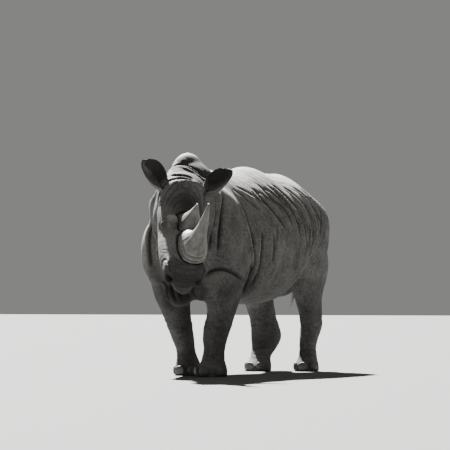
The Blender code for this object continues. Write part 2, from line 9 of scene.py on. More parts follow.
import json
import random
import bpy
import bmesh
import numpy as np
from math import cos, hypot, pi, radians, sin
from mathutils import Matrix, Vector, noise
from mathutils.bvhtree import BVHTree

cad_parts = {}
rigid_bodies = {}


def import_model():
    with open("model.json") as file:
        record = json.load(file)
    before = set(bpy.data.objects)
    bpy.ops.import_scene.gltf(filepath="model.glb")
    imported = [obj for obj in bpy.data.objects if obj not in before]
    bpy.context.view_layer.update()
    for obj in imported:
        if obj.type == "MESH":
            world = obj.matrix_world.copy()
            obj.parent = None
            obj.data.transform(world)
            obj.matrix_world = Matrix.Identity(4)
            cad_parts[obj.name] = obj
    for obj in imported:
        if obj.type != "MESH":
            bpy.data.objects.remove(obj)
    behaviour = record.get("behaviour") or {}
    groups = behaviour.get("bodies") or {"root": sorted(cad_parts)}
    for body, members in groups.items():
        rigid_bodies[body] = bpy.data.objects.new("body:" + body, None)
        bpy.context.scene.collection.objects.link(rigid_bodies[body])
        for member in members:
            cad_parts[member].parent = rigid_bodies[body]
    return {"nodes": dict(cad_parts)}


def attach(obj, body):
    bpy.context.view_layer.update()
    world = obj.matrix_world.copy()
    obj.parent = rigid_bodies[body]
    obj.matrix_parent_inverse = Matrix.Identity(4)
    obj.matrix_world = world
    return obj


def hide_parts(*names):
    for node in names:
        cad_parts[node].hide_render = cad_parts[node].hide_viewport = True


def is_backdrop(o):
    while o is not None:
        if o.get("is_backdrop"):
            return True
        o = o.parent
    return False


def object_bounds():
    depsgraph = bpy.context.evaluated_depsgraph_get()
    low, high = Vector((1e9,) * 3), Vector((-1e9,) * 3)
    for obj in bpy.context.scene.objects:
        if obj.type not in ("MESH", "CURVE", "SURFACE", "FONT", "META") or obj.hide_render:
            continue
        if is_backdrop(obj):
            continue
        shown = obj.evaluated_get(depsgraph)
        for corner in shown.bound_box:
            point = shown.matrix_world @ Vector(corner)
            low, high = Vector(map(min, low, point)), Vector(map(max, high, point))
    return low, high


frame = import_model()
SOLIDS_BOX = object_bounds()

# ---- Driving sizes ------------------------------------------------------------------------------------
MIDDLE = Vector((-0.1804, 0.3363, 0.0))  # moves the plan centre of the finished animal to the origin
RING = 36  # points round a body station

# ---- Trunk: y, top, bottom, half-width above, half-width below, roundness above, roundness below ------
TRUNK = {
    "chest": (-1.10, 1.26, 0.86, 0.13, 0.15, 2.0, 2.0),
    "brisket": (-1.01, 1.52, 0.70, 0.22, 0.24, 1.9, 2.0),
    "wither": (-0.82, 1.72, 0.62, 0.25, 0.35, 1.75, 2.0),
    "shoulder": (-0.55, 1.71, 0.625, 0.32, 0.43, 1.8, 2.1),
    "dip": (-0.25, 1.69, 0.60, 0.38, 0.48, 1.9, 2.15),
    "ribs": (0.05, 1.755, 0.585, 0.415, 0.51, 1.80, 2.15),
    "saddle": (0.20, 1.758, 0.590, 0.42, 0.515, 1.80, 2.15),
    "belly": (0.35, 1.725, 0.61, 0.425, 0.52, 1.82, 2.15),
    "flank": (0.58, 1.724, 0.74, 0.41, 0.465, 1.80, 2.15),
    "croup": (0.73, 1.724, 0.81, 0.40, 0.43, 1.70, 2.1),
    "hip": (0.91, 1.612, 0.88, 0.40, 0.395, 2.0, 2.1),
    "rump": (1.06, 1.550, 0.93, 0.365, 0.34, 2.05, 2.0),
    "buttock": (1.18, 1.43, 1.00, 0.20, 0.22, 2.0, 2.0),
    "dock": (1.22, 1.32, 1.10, 0.08, 0.09, 2.0, 2.0),
}

# ---- Head: its frame, then stations along it, from the poll to the lips -------------------------------
POLL = Vector((0.288, -1.32, 1.60))  # top of the head between the ears
HEAD_DOWN = radians(50)  # below the horizon
HEAD_TURN = radians(37)  # to the animal's left
HEAD_TILT = radians(-11)  # the left ear is carried lower
HORN_TILT = radians(-8)  # the horns lean back towards upright
FACE_SWAY = (0.024, 0.046)  # how far the face lies to the right of its horns, at the brow and at the lips
CHIN_SWAY = 0.055  # how far the chewing chin lies to the left of the lips
SKULL = {
    "nape": (-0.08, -0.05, -0.28, 0.15, 0.18, 2.0, 2.1),
    "poll": (0.04, -0.01, -0.34, 0.17, 0.185, 2.2, 2.2),
    "temple": (0.17, -0.02, -0.37, 0.175, 0.19, 2.5, 2.3),
    "brow": (0.31, -0.05, -0.37, 0.165, 0.19, 2.7, 2.3),
    "eye": (0.44, -0.06, -0.34, 0.155, 0.208, 2.7, 2.3),
    "cheek": (0.57, -0.05, -0.31, 0.145, 0.224, 2.5, 2.4),
    "nose": (0.69, -0.045, -0.295, 0.135, 0.222, 2.4, 2.5),
    "nostril": (0.79, -0.06, -0.285, 0.14, 0.194, 2.5, 2.7),
    "muzzle": (0.87, -0.11, -0.275, 0.14, 0.170, 2.7, 3.0),
    "lip": (0.925, -0.165, -0.262, 0.125, 0.148, 2.6, 2.8),
    "lip_end": (0.945, -0.19, -0.238, 0.09, 0.115, 2.3, 2.4),
}
JAW = {
    "hinge": (0.02, -0.20, -0.39, 0.165, 0.12, 2.1, 2.1),
    "angle": (0.15, -0.24, -0.43, 0.175, 0.13, 2.1, 2.2),
    "ramus": (0.30, -0.24, -0.43, 0.175, 0.125, 2.1, 2.2),
    "corner": (0.48, -0.24, -0.40, 0.165, 0.11, 2.1, 2.2),
    "middle": (0.65, -0.235, -0.39, 0.145, 0.10, 2.1, 2.2),
    "chin": (0.78, -0.25, -0.405, 0.115, 0.09, 2.1, 2.2),
    "lower_lip": (0.86, -0.275, -0.41, 0.095, 0.075, 2.1, 2.2),
    "end": (0.905, -0.30, -0.39, 0.064, 0.05, 2.0, 2.0),
}

# ---- Neck: share of the way, half-height above, half-height below, half-width, roundness --------------
NECK = {
    "root": (0.0, 0.52, 0.46, 0.32, 1.9),
    "crest": (0.3, 0.50, 0.43, 0.30, 1.9),
    "middle": (0.6, 0.42, 0.36, 0.26, 2.0),
    "throat": (0.85, 0.29, 0.27, 0.215, 2.1),
    "head": (1.0, 0.20, 0.20, 0.175, 2.1),
}
NECK_ROOT = Vector((0.0, -0.62, 1.16))
NECK_ROOT_PULL = Vector((0.0, -0.34, 0.13))
NECK_HEAD_PULL = 0.22

# ---- Legs: height, half-width across, half-length fore and aft, bow towards the tail ------------------
FORELEG = {
    "scapula": (1.18, 0.05, 0.13, 0.00),
    "arm": (1.00, 0.115, 0.23, 0.00),
    "elbow": (0.82, 0.14, 0.235, 0.02),
    "forearm": (0.66, 0.132, 0.180, 0.015),
    "above_knee": (0.53, 0.110, 0.140, 0.00),
    "knee": (0.42, 0.100, 0.125, -0.01),
    "cannon": (0.31, 0.086, 0.108, 0.00),
    "pastern": (0.21, 0.074, 0.090, 0.005),
    "coronet": (0.12, 0.086, 0.104, 0.00),
    "foot": (0.055, 0.112, 0.130, -0.01),
    "sole": (-0.03, 0.116, 0.136, -0.012),
}
HINDLEG = {
    "haunch": (1.22, 0.07, 0.17, 0.00),
    "thigh": (1.02, 0.15, 0.29, 0.00),
    "stifle": (0.84, 0.145, 0.255, 0.02),
    "gaskin": (0.66, 0.110, 0.160, 0.030),
    "above_hock": (0.52, 0.094, 0.130, 0.072),
    "hock": (0.40, 0.090, 0.126, 0.085),
    "cannon": (0.29, 0.080, 0.098, 0.035),
    "pastern": (0.20, 0.074, 0.086, 0.015),
    "coronet": (0.12, 0.084, 0.094, 0.01),
    "foot": (0.055, 0.106, 0.120, -0.01),
    "sole": (-0.03, 0.110, 0.126, -0.015),
}
# The legs that differ: the left foreleg stands straight, the right one leans out, the right hind leg is bent
STRAIGHT_FORELEG = {
    **FORELEG,
    "forearm": (0.66, 0.122, 0.175, 0.055),
    "above_knee": (0.53, 0.096, 0.124, 0.070),
    "knee": (0.42, 0.097, 0.120, 0.030),
}
LEANING_FORELEG = {
    **FORELEG,
    "forearm": (0.66, 0.132, 0.180, -0.025),
    "above_knee": (0.53, 0.110, 0.140, -0.020),
}
BENT_HINDLEG = {
    "haunch": (1.22, 0.07, 0.17, 0.00),
    "thigh": (1.02, 0.15, 0.29, 0.00),
    "stifle": (0.84, 0.150, 0.255, -0.04),
    "gaskin": (0.66, 0.124, 0.172, -0.045),
    "above_hock": (0.50, 0.112, 0.142, -0.008),
    "hock_top": (0.40, 0.110, 0.162, 0.042),
    "hock": (0.30, 0.106, 0.178, 0.066),
    "cannon": (0.22, 0.096, 0.145, 0.052),
    "pastern": (0.15, 0.087, 0.104, 0.008),
    "coronet": (0.10, 0.090, 0.102, -0.008),
    "foot": (0.05, 0.106, 0.120, -0.012),
    "sole": (-0.03, 0.110, 0.126, -0.015),
}
# Each leg: its stations, where it enters the body (x, y), where its foot stands, extra bow, toe-out angle,
# girth
LEGS = {
    "foreleg_left": (STRAIGHT_FORELEG, (0.29, -0.72), (0.185, -0.755), 0.0, radians(8), 1.12),
    "foreleg_right": (LEANING_FORELEG, (-0.265, -0.82), (-0.12, -0.565), 0.0, radians(-8), 1.0),
    "hindleg_left": (HINDLEG, (0.24, 0.81), (0.21, 0.90), 0.0, radians(14), 1.0),
    "hindleg_right": (BENT_HINDLEG, (-0.24, 0.70), (-0.17, 0.70), 0.13, radians(-14), 1.0),
}

# ---- Muscle masses: centre, radii ---------------------------------------------------------------------
BODY_MASSES = {
    "hump": ((-0.008, -0.80, 1.590), (0.118, 0.24, 0.240)),
    "hump_base": ((0.018, -0.80, 1.555), (0.178, 0.28, 0.205)),
    "hump_front": ((0.050, -0.98, 1.49), (0.15, 0.24, 0.22)),
    "hump_back": ((-0.030, -0.55, 1.47), (0.15, 0.40, 0.25)),
    "neck_left": ((0.175, -0.80, 1.36), (0.165, 0.36, 0.22)),
    "neck_right": ((-0.145, -0.76, 1.38), (0.150, 0.34, 0.20)),
    "crest": ((0.03, -0.86, 1.42), (0.235, 0.36, 0.26)),
    "nape": ((0.12, -1.10, 1.48), (0.17, 0.26, 0.17)),
    "throat": ((0.08, -1.02, 1.02), (0.22, 0.20, 0.30)),
    "brisket": ((-0.03, -0.90, 0.685), (0.10, 0.16, 0.125)),
    "brisket_left": ((0.15, -0.86, 0.71), (0.065, 0.13, 0.10)),
    "groin": ((-0.02, 0.79, 0.78), (0.13, 0.27, 0.13)),
}
PAIRED_MASSES = {
    "shoulder_blade": ((0.25, -0.68, 1.14), (0.14, 0.27, 0.38)),
    "upper_arm": ((0.255, -0.79, 0.97), (0.12, 0.23, 0.27)),
    "shoulder_point": ((0.19, -0.97, 1.02), (0.15, 0.13, 0.27)),
    "haunch": ((0.23, 0.84, 1.18), (0.17, 0.30, 0.34)),
    "stifle": ((0.27, 0.66, 0.98), (0.09, 0.14, 0.18)),
}
HEAD_MASSES = {
    "jaw_muscle": ((0.125, 0.20, -0.26), (0.065, 0.18, 0.16)),
    "cheekbone": ((0.148, 0.33, -0.17), (0.048, 0.20, 0.06)),
    "brow_ridge": ((0.124, 0.452, -0.064), (0.050, 0.068, 0.053)),
    "nostril_rim": ((0.114, 0.845, -0.150), (0.054, 0.085, 0.072)),
}
MIDDLE_HEAD_MASSES = {
    "front_horn_boss": ((0.0, 0.665, -0.085), (0.13, 0.16, 0.06)),
    "rear_horn_boss": ((0.0, 0.43, -0.09), (0.10, 0.10, 0.05)),
    "upper_lip": ((0.0, 0.885, -0.215), (0.155, 0.065, 0.06)),
}

# ---- Horns: share of the length, half-width across, half-length fore and aft --------------------------
FRONT_HORN = {
    "base": (0.0, 0.106, 0.138),
    "collar": (0.08, 0.103, 0.130),
    "flare": (0.20, 0.087, 0.102),
    "stem": (0.35, 0.062, 0.072),
    "middle": (0.55, 0.043, 0.050),
    "upper": (0.78, 0.026, 0.031),
    "tip": (1.0, 0.006, 0.007),
}
REAR_HORN = {
    "base": (0.0, 0.098, 0.115),
    "flare": (0.25, 0.074, 0.088),
    "stem": (0.55, 0.046, 0.055),
    "upper": (0.82, 0.022, 0.027),
    "tip": (1.0, 0.006, 0.007),
}
# Each horn: stations, (along, up) of its base in the head's frame, length, lean forward at the base,
# turn back from base to tip
HORNS = {
    "horn_front": (FRONT_HORN, (0.70, -0.060), 0.54, radians(24), radians(44)),
    "horn_rear": (REAR_HORN, (0.455, -0.085), 0.27, radians(10), radians(16)),
}
HORN_SQUARENESS = 0.9  # how much squarer than an oval a horn is at its base

# ---- Ears: share of the length, half-width, depth of the cup, half-angle of the cup, shift to the midline
EAR = {
    "root": (-0.16, 0.040, 0.040, 150, 0.000),
    "neck": (0.0, 0.056, 0.050, 138, 0.002),
    "bell": (0.20, 0.077, 0.062, 118, 0.010),
    "middle": (0.48, 0.083, 0.063, 100, 0.018),
    "upper": (0.74, 0.071, 0.046, 82, 0.020),
    "shoulder": (0.92, 0.042, 0.022, 70, 0.008),
    "tip": (1.0, 0.010, 0.007, 60, 0.000),
}
EAR_LENGTH = 0.25
EAR_THICKNESS = 0.012
# Each ear: its root in the head's frame, then the way it points and the way its cup opens in the body's
EARS = {
    "ear_right": ((-0.185, 0.050, -0.090), (-0.50, -0.36, 0.76), (0.62, -0.78, 0.05)),
    "ear_left": ((0.190, 0.035, -0.088), (0.76, 0.36, 0.68), (-0.15, -0.96, 0.0)),
}

# ---- Eyes, tail and toes ------------------------------------------------------------------------------
EYE = ((0.162, 0.430, -0.140), 0.026)  # centre in the head's frame, ball radius
TAIL = {
    "root": (0.0, 0.045, 0.050),
    "upper": (0.25, 0.034, 0.037),
    "middle": (0.55, 0.024, 0.025),
    "lower": (0.80, 0.021, 0.018),
    "flat": (0.93, 0.026, 0.015),
    "end": (1.0, 0.012, 0.008),
}
TAIL_PATH = [(0.0, 1.09, 1.37), (0.0, 1.27, 1.36), (-0.02, 1.265, 1.05), (-0.07, 1.215, 0.67)]
TOES = (-52, 0, 52)  # degrees from the toe of the foot
NAIL = (0.034, 0.014, 0.036)  # half-width, half-thickness, half-height of a side nail
NAIL_HEIGHT = 0.045
MIDDLE_NAIL = 1.35  # times as wide as a side nail
NAIL_POWER = 3.2  # how square a nail's plate is: 2 would be an oval
NAIL_SOLE = 0.93  # share of its half-height at which a nail is cut level


def through_stations(table, steps):
    """Rows on a smooth curve through the table's rows, `steps` rows from each to the next."""
    rows = np.array(list(table.values()) if isinstance(table, dict) else table, float)
    slopes = np.gradient(rows, axis=0)
    found = []
    for i in range(len(rows) - 1):
        for t in np.linspace(0.0, 1.0, steps, endpoint=False):
            start, end = 2 * t**3 - 3 * t**2 + 1, 3 * t**2 - 2 * t**3
            leave, arrive = t**3 - 2 * t**2 + t, t**3 - t**2
            found.append(start * rows[i] + end * rows[i + 1] + leave * slopes[i] + arrive * slopes[i + 1])
    found.append(rows[-1])
    return np.array(found)


def oval(top, bottom, half_above, half_below, round_above, round_below, count=RING):
    """(across, up) points round a station; its half-width runs from half_below up to half_above."""
    points = []
    for k in range(count):
        turn = 2 * pi * k / count
        power = 2 / (round_above if sin(turn) >= 0 else round_below)
        across = abs(cos(turn)) ** power * (1 if cos(turn) >= 0 else -1)
        up = abs(sin(turn)) ** power * (1 if sin(turn) >= 0 else -1)
        half = half_below + (half_above - half_below) * (up + 1) / 2
        points.append((half * across, (top + bottom) / 2 + up * (top - bottom) / 2))
    return points


def loft(rings):
    """A closed mesh through rings of equal count, capped at both ends."""
    mesh = bmesh.new()
    loops = [[mesh.verts.new(point) for point in ring] for ring in rings]
    for lower, upper in zip(loops, loops[1:]):
        for k in range(len(lower)):
            following = (k + 1) % len(lower)
            mesh.faces.new((lower[k], lower[following], upper[following], upper[k]))
    mesh.faces.new(loops[0][::-1])
    mesh.faces.new(loops[-1])
    bmesh.ops.recalc_face_normals(mesh, faces=mesh.faces)
    return mesh


def ellipsoid(centre, radii, placement=Matrix.Identity(4), fineness=3):
    mesh = bmesh.new()
    place = placement @ Matrix.Translation(centre) @ Matrix.Diagonal((*radii, 1.0))
    bmesh.ops.create_icosphere(mesh, subdivisions=fineness, radius=1.0, matrix=place)
    return mesh


def frame_from(origin, across, along, up):
    """A placement whose X, Y and Z columns are the given directions."""
    columns = Matrix((across, along, up)).transposed().to_4x4()
    return Matrix.Translation(origin) @ columns


def head_frame(tilt_angle=HEAD_TILT):
    """X to the animal's left, Y along the head towards the lips, Z out of its forehead."""
    ahead = Vector((sin(HEAD_TURN), -cos(HEAD_TURN), 0.0))
    along = ahead * cos(HEAD_DOWN) - Vector((0, 0, sin(HEAD_DOWN)))
    up = ahead * sin(HEAD_DOWN) + Vector((0, 0, cos(HEAD_DOWN)))
    tilt = Matrix.Rotation(tilt_angle, 3, along)
    up = tilt @ up
    return frame_from(POLL, up.cross(along), along, up)


def on_face(x, along, up):
    """A place of the head's frame, moved with the face."""
    share = min(max((along - 0.45) / 0.40, 0.0), 1.0)
    deep = min(max((-0.25 - up) / 0.15, 0.0), 1.0)
    x += CHIN_SWAY * share * deep
    return Vector((x - FACE_SWAY[0] - (FACE_SWAY[1] - FACE_SWAY[0]) * share, along, up))


def curve_point(ends, way):
    """Where a curve drawn by four points has got to, from 0 at the first to 1 at the last."""
    back = 1 - way
    a, b, c, d = (Vector(end) for end in ends)
    return a * back**3 + b * 3 * back**2 * way + c * 3 * back * way**2 + d * way**3


def trunk_mesh():
    rings = []
    for y, *shape in through_stations(TRUNK, 4):
        rings.append([(x, y, z) for x, z in oval(*shape)])
    return loft(rings)


def head_mesh(skull, stations):
    rings = []
    for along, *shape in through_stations(stations, 4):
        rings.append([skull @ on_face(x, along, up) for x, up in oval(*shape)])
    return loft(rings)


def neck_mesh(skull):
    """Follows a curve from the shoulders to the back of the head; its stations turn on the way."""
    ends = [NECK_ROOT, NECK_ROOT + NECK_ROOT_PULL]
    head_end = skull @ Vector((0.0, 0.06, -0.20))
    ends += [head_end - skull.col[1].to_3d() * NECK_HEAD_PULL, head_end]
    upright = Matrix.Rotation(pi, 4, "Z").to_quaternion()
    turned = skull.to_quaternion()
    rings = []
    for way, above, below, width, roundness in through_stations(NECK, 4):
        place = Matrix.Translation(curve_point(ends, way)) @ upright.slerp(turned, way).to_matrix().to_4x4()
        shape = oval(above, -below, width, width, roundness, roundness)
        rings.append([place @ Vector((x, 0.0, up)) for x, up in shape])
    return loft(rings)


def leg_centre(leg, height, bow):
    """Where the leg's axis passes this height: on a line from body to foot, bowed to the rear."""
    stations, root, foot, extra_bow = LEGS[leg][:4]
    top = max(row[0] for row in stations.values())
    way = 1 - max(height, 0.0) / top
    bend = extra_bow * sin(pi * min(max((0.9 - height) / 0.9, 0.0), 1.0))
    return (
        root[0] + (foot[0] - root[0]) * way,
        root[1] + (foot[1] - root[1]) * way + bow + bend,
    )


def leg_turn(leg, height):
    """How far the foot's toe is turned out at this height."""
    return LEGS[leg][4] * max(0.0, 1 - max(height, 0.0) / 0.5)


def leg_mesh(leg):
    rings = []
    for height, across, along, bow in through_stations(LEGS[leg][0], 4):
        x, y = leg_centre(leg, height, bow)
        girth = 1 + (LEGS[leg][5] - 1) * min(1.0, max(0.0, (1.0 - height) / 0.3))
        turn = leg_turn(leg, height)
        ring = []
        for dx, dy in oval(along * girth, -along * girth, across * girth, across * girth, 2.15, 2.15):
            ring.append((x + dx * cos(turn) - dy * sin(turn), y + dx * sin(turn) + dy * cos(turn), height))
        rings.append(ring)
    return loft(rings)


def both_sides(masses):
    """Each mass and its mirror image."""
    for (x, y, z), radii in masses.values():
        yield (x, y, z), radii
        yield (-x, y, z), radii


def foot_edge(leg, angle, height):
    """The point of the foot's outline at this angle from its toe, and the way out of it."""
    rows = through_stations(LEGS[leg][0], 8)
    _, across, along, bow = min(rows, key=lambda row: abs(row[0] - height))
    x, y = leg_centre(leg, height, bow)
    girth = LEGS[leg][5]
    local = Vector((sin(angle) * across * girth, -cos(angle) * along * girth, 0.0))
    spin = Matrix.Rotation(leg_turn(leg, height), 3, "Z")
    out = spin @ Vector((sin(angle) / across, -cos(angle) / along, 0.0)).normalized()
    return Vector((x, y, height)) + spin @ local, out


# ---- Skin: grids, then its folds ----------------------------------------------------------------------
SKIN_VOXEL = 0.0105
SKIN_SMOOTH = 30  # passes that turn the lofts' creases into flesh
SKIN_TRIANGLES = 196000  # kept where the hide folds, thinned where it is plain
EAR_GRID = ((9, 31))  # steps from station to station, points across the cup
SEAM_REACH = 0.014  # how far from a root the joint of ear or tail and body is rounded
SEAM_PASSES = 8
LINE_STEPS = 7  # samples of a fold from one of its points to the next
NECK_PASSES = 70  # that fill the hollows between hump, shoulders and neck

# Folds of the left side in the body's frame, from the top down, mirrored for the right side: half-width,
# depth, lip on the side towards the head, overlap of that lip, points
BODY_FOLDS = {
    "shoulder_crease": (0.016, 0.024, 0.014, 0.012, [
        (0.23, -0.53, 1.54), (0.32, -0.49, 1.39), (0.38, -0.47, 1.22), (0.40, -0.44, 1.07),
        (0.39, -0.40, 0.93), (0.36, -0.40, 0.84), (0.30, -0.38, 0.74),
    ]),
    "armpit": (0.024, 0.040, 0.010, 0.012, [
        (0.38, -0.44, 0.95), (0.36, -0.42, 0.86), (0.32, -0.40, 0.77), (0.27, -0.37, 0.70),
        (0.20, -0.36, 0.64),
    ]),
    "second_crease": (0.022, 0.034, 0.012, 0.012, [
        (0.41, -0.31, 1.22), (0.42, -0.32, 1.11), (0.42, -0.33, 1.00), (0.40, -0.32, 0.89),
        (0.37, -0.33, 0.82), (0.33, -0.33, 0.76), (0.27, -0.33, 0.70),
    ]),
    "shoulder_hem": (0.026, 0.034, 0.008, 0.012, [
        (0.20, -1.01, 0.76), (0.28, -0.97, 0.83), (0.35, -0.90, 0.862), (0.40, -0.79, 0.838),
        (0.40, -0.66, 0.80), (0.36, -0.54, 0.785), (0.32, -0.44, 0.775),
    ]),
    "rib_1": (0.016, 0.014, 0.008, 0.002, [
        (0.24, -0.20, 1.57), (0.31, -0.17, 1.49), (0.37, -0.11, 1.39), (0.43, -0.01, 1.27),
        (0.45, 0.05, 1.19),
    ]),
    "rib_2": (0.020, 0.006, 0.004, 0.0, [(0.42, -0.07, 1.28), (0.45, -0.13, 1.08)]),
    "rib_3": (0.024, 0.008, 0.004, 0.0, [(0.44, -0.16, 1.20), (0.44, -0.15, 1.06), (0.44, -0.17, 0.90)]),
    "rib_4": (0.016, 0.013, 0.007, 0.002, [
        (0.22, -0.10, 1.62), (0.34, -0.02, 1.48), (0.38, 0.07, 1.41), (0.42, 0.13, 1.34),
        (0.46, 0.17, 1.20),
    ]),
    "rib_5": (0.018, 0.015, 0.009, 0.003, [
        (0.22, 0.00, 1.62), (0.33, 0.12, 1.51), (0.38, 0.19, 1.45), (0.41, 0.23, 1.38),
        (0.46, 0.26, 1.24), (0.47, 0.27, 1.12),
    ]),
    "flank_1": (0.020, 0.024, 0.013, 0.006, [
        (0.22, 0.10, 1.62), (0.33, 0.22, 1.52), (0.38, 0.29, 1.45), (0.43, 0.34, 1.36),
        (0.46, 0.37, 1.20), (0.47, 0.38, 1.07), (0.45, 0.35, 0.94),
    ]),
    "flank_2": (0.022, 0.027, 0.014, 0.008, [
        (0.20, 0.30, 1.65), (0.31, 0.42, 1.55), (0.36, 0.49, 1.48), (0.40, 0.53, 1.40),
        (0.44, 0.54, 1.23), (0.44, 0.52, 1.06), (0.44, 0.44, 0.95),
    ]),
    "flank_3": (0.022, 0.025, 0.014, 0.008, [
        (0.20, 0.50, 1.65), (0.30, 0.61, 1.56), (0.34, 0.67, 1.50), (0.39, 0.68, 1.41),
        (0.42, 0.71, 1.23), (0.40, 0.70, 1.07), (0.40, 0.61, 0.97),
    ]),
    "flank_4": (0.018, 0.017, 0.009, 0.003, [
        (0.20, 0.66, 1.64), (0.30, 0.76, 1.55), (0.34, 0.81, 1.49), (0.37, 0.83, 1.41),
        (0.41, 0.78, 1.26), (0.40, 0.76, 1.10),
    ]),
    "flank_hem": (0.024, 0.040, 0.016, 0.018, [
        (0.39, 0.70, 1.04), (0.41, 0.58, 0.98), (0.43, 0.46, 0.93), (0.43, 0.37, 0.87),
        (0.39, 0.29, 0.79),
    ]),
    "thigh": (0.020, 0.018, 0.008, 0.006, [
        (0.26, 0.80, 1.56), (0.34, 0.97, 1.38), (0.36, 1.00, 1.20), (0.36, 0.92, 1.04),
    ]),
}
# Folds of one side only, such as those that the turned head draws on the nape, the neck and the chest
SINGLE_FOLDS = {
    "nape_roll_1": (0.019, 0.028, 0.020, 0.014, [
        (-0.10, -1.02, 1.63), (-0.03, -1.02, 1.68), (0.03, -1.00, 1.70), (0.10, -0.96, 1.69),
        (0.16, -0.90, 1.66),
    ]),
    "nape_roll_2": (0.021, 0.032, 0.020, 0.016, [
        (-0.10, -1.06, 1.57), (-0.04, -1.05, 1.63), (0.02, -1.03, 1.665), (0.10, -1.00, 1.655),
        (0.16, -0.95, 1.62), (0.19, -0.86, 1.60), (0.17, -0.75, 1.63), (0.14, -0.66, 1.66),
    ]),
    "neck_left_1": (0.026, 0.026, 0.016, 0.010, [
        (0.26, -0.76, 1.50), (0.32, -0.84, 1.39), (0.34, -0.88, 1.27), (0.34, -0.91, 1.11),
        (0.34, -0.95, 0.96),
    ]),
    "neck_left_2": (0.020, 0.020, 0.014, 0.008, [
        (0.27, -0.94, 1.49), (0.31, -0.97, 1.38), (0.32, -0.97, 1.27), (0.31, -1.00, 1.13),
        (0.30, -1.04, 0.98),
    ]),
    "chest_right_1": (0.024, 0.013, 0.010, 0.004, [
        (-0.20, -1.06, 1.30), (-0.215, -1.08, 1.20), (-0.21, -1.09, 1.08), (-0.20, -1.09, 0.96),
        (-0.19, -1.07, 0.86),
    ]),
    "chest_right_2": (0.022, 0.022, 0.014, 0.008, [
        (-0.10, -1.16, 1.26), (-0.11, -1.15, 1.14), (-0.11, -1.14, 1.02), (-0.10, -1.12, 0.92),
    ]),
    "brisket_1": (0.017, 0.020, 0.012, 0.004, [
        (-0.12, -0.98, 0.82), (-0.08, -1.04, 0.71), (-0.04, -0.99, 0.60),
    ]),
    "brisket_2": (0.017, 0.024, 0.014, 0.005, [
        (-0.05, -1.06, 0.84), (-0.02, -1.07, 0.71), (0.01, -0.99, 0.59),
    ]),
    "brisket_3": (0.017, 0.022, 0.012, 0.004, [
        (0.02, -1.06, 0.82), (0.05, -1.04, 0.70), (0.06, -0.97, 0.60),
    ]),
    "brisket_4": (0.017, 0.020, 0.012, 0.004, [
        (0.09, -1.02, 0.80), (0.12, -0.99, 0.70), (0.13, -0.92, 0.61),
    ]),
    "throat_1": (0.014, 0.005, 0.004, 0.002, [
        (0.40, -0.80, 0.90), (0.37, -0.90, 0.93), (0.32, -1.00, 0.95),
    ]),
    "throat_2": (0.012, 0.004, 0.003, 0.001, [
        (0.40, -0.80, 0.94), (0.36, -0.92, 0.98), (0.31, -1.01, 1.01),
    ]),
}

# Finer folds along the lines that the hide follows round the barrel: width, depth, lip and overlap of all,
# then how far back each line bulges, its top and its bottom
RIB_FOLD = (0.013, 0.009, 0.004, 0.0)
RIB_FOLDS = [
    (-0.10, 1.60, 1.38), (0.08, 1.64, 1.42), (0.20, 1.62, 1.36), (0.31, 1.64, 1.22), (0.45, 1.67, 1.16),
    (0.50, 1.30, 1.02), (0.61, 1.66, 1.10), (0.67, 1.30, 1.02), (0.77, 1.66, 1.16), (0.90, 1.60, 1.10),
]

# Folds of the head in the head's frame, mirrored too, and those that cross its middle
HEAD_FOLDS = {
    "mouth": (0.010, 0.022, 0.006, 0.006, [
        (0.00, 0.96, -0.262), (0.07, 0.955, -0.264), (0.135, 0.915, -0.275), (0.165, 0.83, -0.292),
        (0.175, 0.72, -0.302), (0.176, 0.62, -0.300), (0.178, 0.56, -0.292),
    ]),
    "cheek_1": (0.014, 0.010, 0.005, 0.003, [
        (0.180, 0.18, -0.10), (0.195, 0.20, -0.20), (0.195, 0.24, -0.30), (0.180, 0.30, -0.38),
    ]),
    "nostril_wing": (0.010, 0.007, 0.002, 0.002, [
        (0.120, 0.93, -0.135), (0.135, 0.87, -0.115), (0.155, 0.80, -0.130), (0.168, 0.78, -0.180),
        (0.170, 0.82, -0.235),
    ]),
    "lip_corner": (0.012, 0.006, 0.002, 0.001, [
        (0.184, 0.60, -0.240), (0.186, 0.57, -0.280), (0.180, 0.56, -0.320), (0.160, 0.60, -0.360),
    ]),
}
